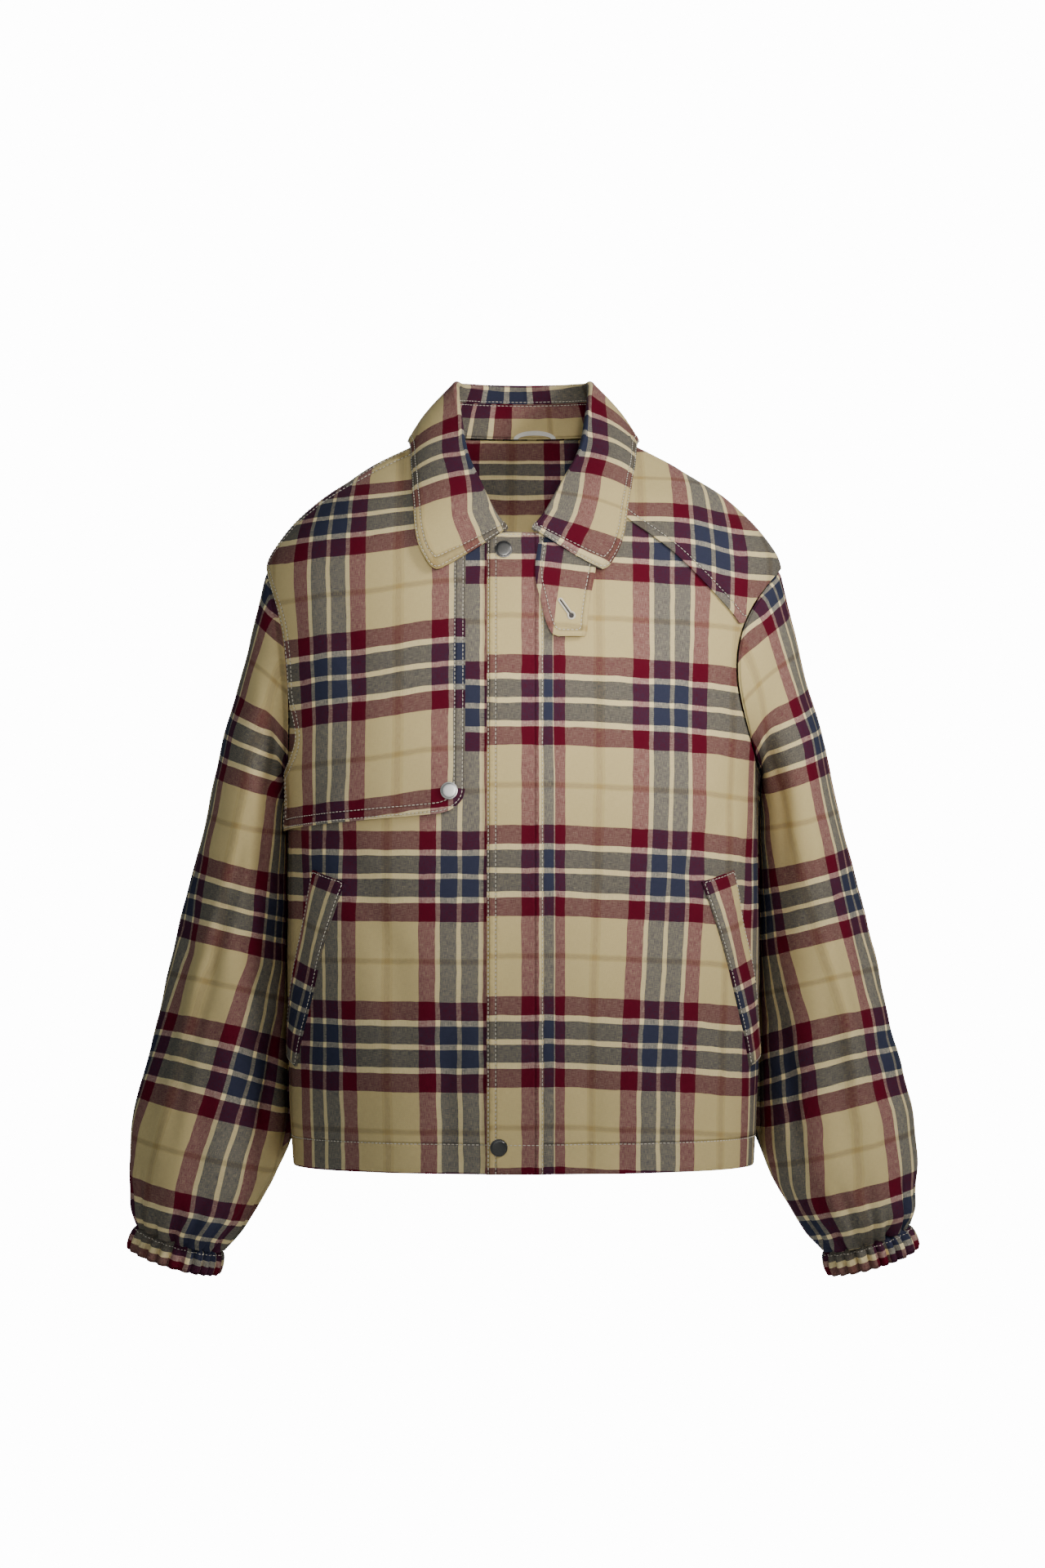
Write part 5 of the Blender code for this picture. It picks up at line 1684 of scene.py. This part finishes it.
    def cloth(self) -> Cloth:
        """Lay out the sleeve as a closed grid from the armhole to the cuff."""
        last = len(self.rings) - 1.0
        coarse = np.linspace(0, last, 400)
        spine = self.ring_table(coarse)
        middle = np.stack([(spine[:, 1] + spine[:, 3]) / 2, (spine[:, 2] + spine[:, 4]) / 2], -1)
        run = travelled(middle)
        places = spaced(run[-1], self.steps)
        number = np.interp(places, run, coarse)[:, None]
        degrees = np.linspace(-180, 180, self.columns + 1)[None, :]
        number, degrees = np.broadcast_arrays(number, degrees)
        angle = np.radians(degrees)
        points, centre = self.plain(number, angle)
        left = np.broadcast_to((run[-1] - places)[:, None], number.shape)
        top = np.broadcast_to(places[:, None], number.shape)
        depth = self.depth(points[..., 2], degrees) * ease(top / 0.05) * ease(left / 0.03 + 0.15)
        depth = depth + self.gathering(left, degrees) * ease(1.2 - 0.2 * left / 0.03)
        depth = depth + self.seam_dip * hump(top, 0.0022)
        depth = depth - self.blousing * hump(left - 0.016, 0.014) * (0.6 + 0.4 * np.cos(angle * 2 + 0.4))
        points = points + unit(centre - points) * depth[..., None]
        flat = self.unrolled(points)
        return self.match.lay(self.side.tube(points, flat))

    def unrolled(self, points: Array) -> Array:
        """Give the flat cut: round from the outer line, and down square to it."""
        outer = points[:, self.columns // 2]
        axis = unit(np.gradient(outer, axis=0))
        down = travelled(outer)
        smooth = np.stack([np.convolve(np.pad(axis[:, k], 12, "edge"), np.ones(25) / 25, "valid")
                           for k in range(3)], -1)
        low = ease((self.low_z - outer[:, 2]) / self.low_run)[:, None]
        axis = unit(unit(smooth) * (1 - low) + unit(np.array(self.low_grain)) * low)
        along = down[:, None] + np.sum((points - outer[:, None]) * axis[:, None], -1)
        step = np.diff(points, axis=1)
        part = np.sum(step * axis[:, None], -1)
        length = np.sqrt(np.maximum(np.sum(step * step, -1) - part * part, 1e-12))
        around = np.concatenate([np.zeros((len(points), 1)), np.cumsum(length, 1)], 1)
        around = around - around[:, self.columns // 2][:, None]
        return np.stack([around, along], -1)

    def build(self) -> None:
        """Make the sleeve."""
        side = self.side.name.lower()
        sew(f"sleeve_{side}", self.cloth().with_edge(Border.BOTTOM), SLEEVE_CLOTH, self.wall,
            "checked_cotton", "hung", [f"sewn_front_{side}", "sewn_back"])


@dataclass
class Cuff:
    """An elasticated cuff below a sleeve, drawn up into uneven pleats."""

    sleeve: Sleeve
    match: Match
    half_width: float = 0.0405
    half_depth: float = 0.0325
    wall: float = 0.0022
    stitch_line: float = 0.0072
    gathers: int = 24
    points_per_gather: int = 9
    rings: tuple[Place, ...] = (
        # along, bulge, gather
        (-0.0040, -0.0060, 0.0004), (0.0000, -0.0034, 0.0012), (0.0035, -0.0010, 0.0022),
        (0.0110, 0.0004, 0.0028), (0.0170, 0.0006, 0.0028), (0.0215, 0.0002, 0.0026),
    )

    def cloth(self) -> Cloth:
        """Lay out the cuff as a closed grid."""
        side = self.sleeve.side
        outer_x, outer_z, inner_x, inner_z, _, _, _, lean = self.sleeve.rings[-1]
        across = unit(np.array([outer_x - inner_x, 0, outer_z - inner_z]))
        down = unit(np.cross([0, 1, 0], across))
        down = down if down[2] < 0 else -down
        middle = np.array([(outer_x + inner_x) / 2, 0, (outer_z + inner_z) / 2])
        start, end = self.rings[0][0], self.rings[-1][0]
        along = start + spaced(np.array(end - start), 8, (0.0, 0.0006, 0.0014, 0.0026, 0.0040))
        table = read_table(self.rings, along)[:, None, :]
        turn = np.linspace(-np.pi, np.pi, self.gathers * self.points_per_gather + 1)[None, :]
        warped = turn + 0.05 * np.sin(3 * turn + 0.8 + side.value) + 0.03 * np.sin(5 * turn)
        pleat = 2 * np.abs(np.cos(warped * self.gathers / 2)) ** 0.75 - 1
        size = 1 + 0.30 * np.sin(4 * turn + 0.7) * np.cos(3 * turn + side.value)
        wave = table[..., 1] + table[..., 2] * pleat * size
        y = -(self.half_depth + wave) * np.sin(turn)
        points = (middle + across * ((self.half_width + wave) * np.cos(turn))[..., None]
                  + down * along[:, None, None] + np.stack([0 * y, y, lean * y], -1))
        around = travelled(points, 1)
        around = np.broadcast_to(around.mean(0), around.shape)
        flat = np.stack([around, np.broadcast_to(along[:, None], around.shape)], -1)
        return self.match.lay(side.tube(points, flat))

    def build(self) -> None:
        """Make the cuff and the stitches that join it to the sleeve."""
        side = self.sleeve.side.name.lower()
        cloth = self.cloth().with_edge(Border.BOTTOM, Border.TOP)
        cloth = cloth.lifted(roll(cloth.edge, 0.0006))
        sew(f"cuff_{side}", cloth, CUFF_CLOTH, self.wall, "faced_cotton", "gathered",
            [f"sewn_sleeve_{side}"], [(cloth.away_from(Border.BOTTOM), self.stitch_line)],
            stitch=0.0021, pitch=0.0034)


@dataclass
class CollarForm:
    """The run of the collar round the neck: its neckline, fold and outer edge."""

    body: Body
    places: Table = (
        # around from centre back 0 to centre front 1, fold x y z, edge x y z, bulge, lift
        (0.00, 0.0000, 0.0660, 0.0540, 0.0000, 0.0840, -0.007, 0.002, 0.0032),
        (0.17, 0.0320, 0.0590, 0.0540, 0.0500, 0.0760, -0.008, 0.003, 0.0032),
        (0.33, 0.0530, 0.0370, 0.0535, 0.0820, 0.0480, -0.010, 0.003, 0.0034),
        (0.50, 0.0585, 0.0060, 0.0500, 0.0985, 0.0080, -0.007, 0.004, 0.0040),
        (0.60, 0.0545, -0.0270, 0.0190, 0.0975, -0.0190, -0.012, 0.005, 0.0046),
        (0.70, 0.0490, -0.0540, -0.0110, 0.0955, -0.0450, -0.038, 0.006, 0.0054),
        (0.80, 0.0370, -0.0780, -0.0390, 0.0925, -0.0700, -0.066, 0.005, 0.0060),
        (0.90, 0.0230, -0.0960, -0.0685, 0.0875, -0.0880, -0.099, 0.003, 0.0064),
        (0.94, 0.0135, -0.1045, -0.0800, 0.0750, -0.0970, -0.124, 0.002, 0.0064),
    )
    front_end: float = 0.940
    faced: float = 0.0020
    cloth: float = 0.0016
    fold_radius: float = 0.0036
    fold_share: float = 0.38
    fall_start: float = 0.0030
    stand_share: float = 0.64
    tuck: float = 0.0014
    tuck_run: float = 0.08
    left_end_shift: float = -0.006
    shift_start: float = 0.62
    metres_per_around: float = 0.60
    leaf_metres_per_around: float = 0.62
    tip_radius: float = 0.0080

    def stations(self, middle: int) -> Array:
        """List places round the neck from the -X end to the +X end, as signed arounds."""
        near = [distance / self.metres_per_around for distance in NEAR]
        return -self.front_end + spaced(2 * self.front_end, middle, near)

    def frame(self, stations: Array) -> dict[str, Array]:
        """Work out directions and key points at stations, as if all were on the +X side."""
        around = np.abs(stations)
        place = read_table(self.places, around)
        base = self.body.neck_point(around)
        tangent = self.body.neck_point(around + 0.01) - self.body.neck_point(np.maximum(around - 0.01, 0))
        fold, edge = place[:, 1:4], place[:, 4:7]
        rise = unit(fold - base)
        out = unit(np.cross(tangent, rise))
        flip = np.sum(out * self.body.normal(base), -1) < 0
        out = np.where(flip[:, None], -out, out)
        height = np.linalg.norm(fold - base, axis=1)
        radius = np.minimum(self.fold_radius, height * self.fold_share)
        foot = base - out * (self.faced + SEAM) + rise * 3 * SEAM
        reach = np.minimum(height * self.stand_share, height - radius - self.fall_start)
        return {"around": around, "fold": fold, "edge": edge, "rise": rise, "out": out,
                "radius": radius, "foot": foot, "crown": foot + rise * reach[:, None],
                "bulge": place[:, 7], "lift": place[:, 8] + self.cloth}

    def sided(self, points: Array, stations: Array) -> Array:
        """Mirror the stations of the -X side and draw the +X end further over the front."""
        points = points.copy()
        points[..., 0] *= np.where(stations < 0, -1, 1)
        points[..., 0] += self.left_end_shift * ease(
            (stations - self.shift_start) / (self.front_end - self.shift_start))
        return points

    def stand(self, stations: Array) -> Array:
        """Give the stand's neck side, foot to crown."""
        at = self.frame(stations)
        share = shares(0.035, 8, NEAR[:5])
        tuck = self.tuck * hump(at["around"] - 0.5, self.tuck_run)
        rows = [at["foot"] + (at["crown"] - at["foot"]) * s - at["out"] * (tuck * max(0, 1 - 2 * s))[:, None]
                for s in share]
        return self.sided(np.stack(rows), stations)

    def leaf(self, stations: Array) -> Array:
        """Give the leaf's visible side, from the stand over the fold to its outer edge."""
        at = self.frame(stations)
        rise, out, radius = at["rise"], at["out"], at["radius"][:, None]
        start = at["crown"] + rise * SEAM
        centre = at["fold"] - rise * radius
        inner = centre - out * radius
        rows = [start + (inner - start) * s for s in (0.0, 0.25, 0.5, 0.75)]
        for turn in np.linspace(0, np.pi, 11):
            rows.append(centre - out * radius * math.cos(turn) + rise * radius * math.sin(turn))
        outer = centre + out * radius
        edge = self.body.clear(at["edge"], at["lift"])
        length = np.linalg.norm(edge - outer, axis=1)
        from_end = (self.front_end - at["around"]) * self.leaf_metres_per_around
        bend = np.clip((self.tip_radius - from_end) / self.tip_radius, 0, 1)
        cut = self.tip_radius * (1 - np.sqrt(1 - bend ** 2))
        reach = 1 - cut / length
        distance = shares(0.070, 26)
        for s in distance[1:]:
            share = (s * reach)[:, None]
            point = outer + (edge - outer) * share
            point = point + out * (at["bulge"][:, None] * np.sin(np.pi * share))
            wave = 0.0010 * share * ripple(stations, np.full_like(stations, s * 0.1), 0.22, 3)[:, None]
            point = point + out * (wave + 0.0010 * share)
            rows.append(self.body.clear(point, at["lift"]))
        return self.sided(np.stack(rows), stations)


def unrolled(points: Array, reference: int) -> Array:
    """Give the flat cut of a strip: across it by its rows, along it by a reference row."""
    return np.stack(np.broadcast_arrays(travelled(points), travelled(points[reference])), -1)


@dataclass
class Collar:
    """The collar stand, and the leaf that folds over it."""

    form: CollarForm
    leaf_match: Match
    stand_match: Match
    leaf_wall: float = 0.0016
    stand_wall: float = 0.0020
    stitch_lines: tuple[float, float] = (0.0013, 0.0060)
    seam_line: float = 0.0016
    # the leaf's row along the crest of its fold, by which its length is cut
    crest_row: int = 9

    def build(self) -> None:
        """Make stand, leaf and their stitches."""
        stations = self.form.stations(150)
        points = self.form.stand(stations)
        cloth = Cloth(points, unrolled(points, len(points) // 2)).with_edge(Border.TOP, Border.BOTTOM)
        cloth = self.stand_match.lay(cloth)
        sew("collar_stand", cloth, STAND_CLOTH, self.stand_wall, "faced_cotton", "hung", ["sewn_back"],
            [(cloth.away_from(Border.TOP), self.seam_line)])
        points = self.form.leaf(stations)
        cloth = Cloth(points, unrolled(points, self.crest_row))
        cloth.with_edge(Border.TOP, Border.START, Border.END)
        shape = roll(cloth.edge, 0.0006) + groove(cloth.edge, *self.stitch_lines)
        cloth = self.leaf_match.lay(cloth.lifted(shape))
        sew("collar_leaf", cloth, COLLAR_CLOTH, self.leaf_wall, "faced_cotton", "folded",
            ["sewn_collar_stand"], [*((cloth.edge, distance) for distance in self.stitch_lines),
                                    (cloth.away_from(Border.BOTTOM), self.seam_line)])


@dataclass
class Snap:
    """A domed snap cap with a thin rim, on the cloth's face."""

    name: str
    place: Vector
    normal: Vector
    finish: PlatedMetal
    slot: str
    radius: float = 0.0075
    # each step: rise, then size of the new ring against the one before
    profile: tuple[tuple[float, float], ...] = (
        (0.00080, 1.000), (0.00028, 0.980), (0.00006, 0.930), (-0.00024, 0.980), (0.00002, 0.960),
        (0.00026, 0.990), (0.00018, 0.960), (0.00012, 0.900), (0.00008, 0.800), (0.00004, 0.650),
        (0.00002, 0.450),
    )

    def build(self) -> None:
        """Turn the cap from a disc, raising and narrowing it ring by ring."""
        bpy.ops.object.select_all(action="DESELECT")
        bpy.ops.mesh.primitive_circle_add(vertices=56, radius=self.radius, fill_type="NGON")
        piece = bpy.context.active_object
        piece.name = self.name
        bpy.ops.object.mode_set(mode="EDIT")
        bpy.ops.mesh.select_all(action="SELECT")
        for rise, size in self.profile:
            bpy.ops.mesh.extrude_region_move(TRANSFORM_OT_translate={"value": (0, 0, rise)})
            bpy.ops.transform.resize(value=(size, size, 1))
        bpy.ops.mesh.select_all(action="SELECT")
        bpy.ops.mesh.normals_make_consistent(inside=False)
        bpy.ops.object.mode_set(mode="OBJECT")
        turn = self.normal.to_track_quat("Z", "Y").to_matrix().to_4x4()
        piece.data.transform(Matrix.Translation(self.place) @ turn)
        piece.data.materials.append(self.finish.material())
        bpy.ops.object.shade_smooth_by_angle(angle=math.radians(38))
        carried(piece, self.slot, self.name.removeprefix("made_"))
        LOG.info("%s: %d faces", piece.name, len(piece.data.polygons))


@dataclass
class HangLoop:
    """The ribbon arch inside the back neck."""

    body: Body
    left_x: float = -0.009
    right_x: float = 0.030
    rise: float = 0.0075
    ribbon: float = 0.004
    wall: float = 0.0010
    lean: float = 0.12

    def build(self) -> None:
        """Make the arch, its ribbon standing on edge against the collar stand."""
        half = (self.right_x - self.left_x) / 2
        turn = np.linspace(np.pi, 0, 37)[None, :]
        across = np.linspace(0, self.ribbon, 7)[:, None]
        x = self.left_x + half + (half - self.ribbon + across) * np.cos(turn)
        z = self.body.back_neck_z + 2 * SEAM + (self.rise - self.ribbon + across) * np.sin(turn)
        y = self.body.back_neck_depth * np.sqrt(1 - (x / self.body.neck_half_width) ** 2)
        inward = -unit(np.stack([x / self.body.neck_half_width ** 2, y / self.body.back_neck_depth ** 2,
                                 0 * x], -1))
        depth = 0.0020 + 3 * SEAM + self.lean * (z - self.body.back_neck_z) + self.wall
        points = np.stack([x, y, z], -1) + inward * depth[..., None]
        cloth = Cloth(points, unrolled(points, len(points) // 2))
        carried(cloth.shell("sewn_hang_loop", self.wall, RIBBON.material()), "ribbon", "hang_loop")


@dataclass
class Studio:
    """The camera, a pale floor, a cool sky and soft lights, with a beam from the front."""

    distance: float = 4.5
    height: float = -0.3024
    lens: float = 117.2
    centre_x: float = -0.0007
    floor_z: float = -1.10
    # each light: place, aimed at, size, power
    lights: tuple[tuple[Place, Place, float, float], ...] = (
        ((1.02, -0.92, 0.46), (0.0, 0.0, -0.22), 0.35, 20.0),
        ((0.5, -3.6, 1.3), (0.0, 0.0, -0.25), 0.8, 16.0),
        ((-0.9, -3.9, 0.2), (0.0, 0.0, -0.30), 0.9, 14.0),
        ((0.0, 2.6, 1.6), (0.0, 0.0, -0.25), 1.4, 60.0),
    )
    beam_place: Place = (0.35, -4.2, 0.25)
    beam_aim: Place = (0.03, 0.0, -0.20)
    beam_degrees: float = 7.4
    beam_power: float = 900.0
    white: float = 14.0

    def camera(self) -> None:
        """Place the camera level, on the jacket's centre line."""
        data = bpy.data.cameras.new("view")
        data.sensor_fit = "VERTICAL"
        data.sensor_height = 36.0
        data.lens = self.lens
        item = linked("view", data)
        item.location = (self.centre_x, -self.distance, self.height)
        item.rotation_euler = (math.pi / 2, 0, 0)
        bpy.context.scene.camera = item

    def white_to_camera(self, graph: Graph, kind: str, shown: Socket,
                        output: Node) -> None:
        """Put plain white, for the camera alone, in place of a surface or sky.

        Args:
            graph: The floor's or the sky's graph.
            kind: The kind of node that glows.
            shown: What all other rays meet.
            output: The graph's output node.
        """
        glow = graph.add(kind, {"Color": (1.0, 1.0, 1.0, 1.0), "Strength": self.white})
        path = graph.add("LightPath")
        mix = graph.add("MixShader", {0: path.outputs["Is Camera Ray"], 1: shown, 2: glow.outputs[0]})
        graph.feed(output, {"Surface": mix.outputs[0]})

    def floor(self) -> None:
        """Make the pale floor."""
        bpy.ops.object.select_all(action="DESELECT")
        bpy.ops.mesh.primitive_plane_add(size=14, location=(0, 0, self.floor_z))
        floor = bpy.context.active_object
        floor.name = "studio_floor"
        material = bpy.data.materials.new("pale_floor")
        material.use_nodes = True
        nodes, graph = material.node_tree.nodes, Graph(material.node_tree)
        paint = graph.feed(nodes["Principled BSDF"],
                           {"Base Color": (0.75, 0.75, 0.74, 1.0), "Roughness": 0.9})
        self.white_to_camera(graph, "Emission", paint.outputs[0], nodes["Material Output"])
        floor.data.materials.append(material)

    def sky(self) -> None:
        """Make the soft, cool light from all round."""
        world = bpy.data.worlds.new("studio")
        world.use_nodes = True
        nodes, graph = world.node_tree.nodes, Graph(world.node_tree)
        soft = graph.feed(nodes["Background"], {"Color": (0.72, 0.88, 1.0, 1.0), "Strength": 0.20})
        self.white_to_camera(graph, "Background", soft.outputs[0], nodes["World Output"])
        bpy.context.scene.world = world

    def light(self, data: bpy.types.Light, power: float, place: Sequence[float],
              aim: Sequence[float]) -> None:
        """Hang a light at a place and aim it."""
        data.energy = power
        item = linked(data.name, data)
        item.location = place
        item.rotation_euler = (Vector(aim) - Vector(place)).to_track_quat("-Z", "Y").to_euler()

    def build(self) -> None:
        """Make floor, sky, lights and camera."""
        self.floor()
        self.sky()
        for number, (place, aim, size, power) in enumerate(self.lights):
            softbox = bpy.data.lights.new(f"softbox_{number}", "AREA")
            softbox.size = size
            self.light(softbox, power, place, aim)
        beam = bpy.data.lights.new("beam", "SPOT")
        beam.spot_size = math.radians(self.beam_degrees)
        beam.spot_blend = 1.0
        beam.shadow_soft_size = 0.22
        self.light(beam, self.beam_power, self.beam_place, self.beam_aim)
        self.camera()


SLEEVE_CREASES = {
    # paths by degrees round the sleeve, and height
    Side.RIGHT: (
        Crease(((96, -0.331), (76, -0.473), (66, -0.544), (64, -0.640)), 0.010, 0.0050),
        Crease(((82, -0.350), (62, -0.480), (52, -0.560), (50, -0.630)), 0.012, -0.0030),
        Crease(((150, -0.500), (136, -0.600), (132, -0.664)), 0.009, 0.0040),
        Crease(((60, -0.180), (96, -0.230), (128, -0.300)), 0.012, 0.0024),
        Crease(((20, -0.420), (44, -0.450), (84, -0.452)), 0.010, 0.0020),
        Crease(((-60, -0.300), (-84, -0.420), (-70, -0.560)), 0.013, 0.0040),
        Crease(((-130, -0.330), (-112, -0.400), (-60, -0.440)), 0.011, 0.0034),
    ),
    Side.LEFT: (
        Crease(((60, -0.331), (66, -0.436), (55, -0.515), (55, -0.562), (53, -0.667)), 0.010, 0.0046),
        Crease(((76, -0.340), (82, -0.450), (72, -0.540), (70, -0.630)), 0.012, -0.0028),
        Crease(((140, -0.480), (128, -0.560), (126, -0.660)), 0.009, 0.0038),
        Crease(((50, -0.190), (90, -0.240), (126, -0.290)), 0.012, 0.0022),
        Crease(((16, -0.520), (46, -0.545), (80, -0.540)), 0.009, 0.0018),
        Crease(((-56, -0.280), (-80, -0.410), (-68, -0.570)), 0.013, 0.0038),
        Crease(((-126, -0.350), (-104, -0.420), (-58, -0.450)), 0.011, 0.0034),
    ),
}


def face_place(form: Form, x: float, z: float, lift: float) -> tuple[Vector, Vector]:
    """Give a place on the fronts and the direction off them.

    Args:
        form: The body's form.
        x: Where it is across.
        z: Its height.
        lift: How far it stands off the front.

    Returns:
        The place and the direction.
    """
    heights = np.array([z, z, z, z + 0.003])
    arcs = form.body.arc_at_x(heights, np.array([x, x + 0.003, x, x]))
    points = form.front(arcs, heights, np.full(4, lift))
    normal = unit(np.cross(points[1] - points[0], points[3] - points[0]))
    return Vector(points[0]), Vector(normal)


def main() -> None:
    """Build the jacket's pieces, its metal parts and the studio."""
    logging.basicConfig(level=logging.INFO, format="%(message)s")
    body = Body()
    form = Form(body)
    other = Form(Body(armhole_front=0.048))
    flap = StormFlap(other, Match((-0.0800, -0.155), (
        (-0.0519, -0.1599, 0.077), (-0.0788, -0.1607, 0.077), (-0.1326, -0.1704, 0.077),
        (-0.1671, -0.1742, 0.077), (-0.2010, -0.1788, 0.077))))
    sleeves = {
        Side.RIGHT: Sleeve(other.body, Side.RIGHT, Match(
            ((-0.2224, -0.2324, 0.100), (-0.2415, -0.2940, 0.100), (-0.2541, -0.3574, 0.100),
             (-0.2388, -0.4502, 0.1295), (-0.2644, -0.5270, 0.1295), (-0.2827, -0.5867, 0.1295),
             (-0.3049, -0.6720, 0.1295), (-0.3095, -0.6930, 0.1295)), (-0.2450, -0.3735)),
                           SLEEVE_CREASES[Side.RIGHT]),
        Side.LEFT: Sleeve(body, Side.LEFT, Match(
            ((0.2322, -0.2349, 0.0705), (0.2467, -0.2925, 0.0705), (0.2638, -0.3692, 0.0705),
             (0.2808, -0.4417, 0.0705), (0.2956, -0.5014, 0.0705), (0.3068, -0.5696, 0.0705),
             (0.3183, -0.6421, 0.0705), (0.3240, -0.6850, 0.0705)), (0.2352, -0.3730)),
                          SLEEVE_CREASES[Side.LEFT]),
    }
    builders = [
        Back(form, Match((-0.0395, -0.050), (0.0, -0.0594), 1.0)),
        Front(other, Side.RIGHT, Match(
            ((-0.0875, -0.339, 0.0), (-0.0885, -0.416, 0.0), (-0.0895, -0.485, 0.0), (-0.0895, -0.558, 0.0),
             (-0.0875, -0.623, 0.0)), (-0.110, -0.4195))),
        Front(form, Side.LEFT, Match(
            (0.0942, -0.230),
            ((0.0306, -0.3373, 0.077), (0.0937, -0.3406, 0.077), (0.1513, -0.3456, 0.077),
             (0.1935, -0.3520, 0.077)))),
        flap,
        ShoulderYoke(form, Match(((0.1487, -0.0797, 0.0187), (0.1497, -0.1028, 0.0187)),
                                 ((0.1412, -0.0595, 0.077), (0.1793, -0.0682, 0.077)))),
        PocketWelt(other, Side.RIGHT, Match((-0.1686, -0.3954), (-0.1686, -0.3954), offset=(0.0352, 0.0))),
        PocketWelt(form, Side.LEFT, Match((0.1735, -0.3928), (0.1735, -0.3928), offset=(0.0633, 0.0))),
        Placket(form, Match((-0.0010, -0.300), (0.0, -0.4150))),
        ThroatTab(form, Match((0.0290, -0.140), (0.0275, -0.1330), turn=-7.0, offset=(0.0705, 0.0))),
        *sleeves.values(),
        Cuff(sleeves[Side.RIGHT], Match((-0.3092, -0.7161), (-0.3000, -0.7211), offset=(0.0, 0.0614))),
        Cuff(sleeves[Side.LEFT], Match((0.3092, -0.7161), (0.3000, -0.7211), offset=(0.0705, 0.0614))),
        Collar(CollarForm(body),
               Match(((-0.0708, 0.0093, 0.0705), (-0.0689, -0.0175, 0.0705), (-0.0634, -0.0428, 0.0705),
                      (-0.0607, -0.0680, 0.0705), (-0.0555, -0.0917, 0.0705), (0.0, 0.0482, 0.0518),
                      (0.0732, 0.0046, 0.0705), (0.0732, -0.0112, 0.0705), (0.0692, -0.0286, 0.0705),
                      (0.0661, -0.0523, 0.0705), (0.0590, -0.0759, 0.0705), (0.0526, -0.0901, 0.0705)),
                     None,
                     eased=((0.0, -0.037), (0.0445, 0.0), (0.1365, 0.077), (0.221, 0.146),
                            (0.300, 0.223), (0.389, 0.292), (0.485, 0.369), (0.535, 0.438),
                            (0.560, 0.466))),
               Match((-0.0117, 0.0230), (-0.0117, 0.0230), offset=(0.0, 0.0770))),
        HangLoop(body),
    ]
    for builder in builders:
        LOG.info("building %s", type(builder).__name__)
        builder.build()
    flap_lift = float(flap.lift(np.array(-0.063), np.array(-0.3085)))
    for name, x, z, lift, finish, slot in (
            ("snap_top", -0.0168, -0.1010, 0.0026, GUNMETAL, "gunmetal"),
            ("snap_bottom", -0.0208, -0.6125, 0.0026, GUNMETAL, "gunmetal"),
            ("snap_flap", -0.0625, -0.3085, flap_lift, NICKEL, "steel")):
        place, normal = face_place(form, x, z, lift + 0.0003)
        Snap(f"made_{name}", place, normal, finish, slot).build()
    Studio().build()


if __name__ == "__main__":
    main()
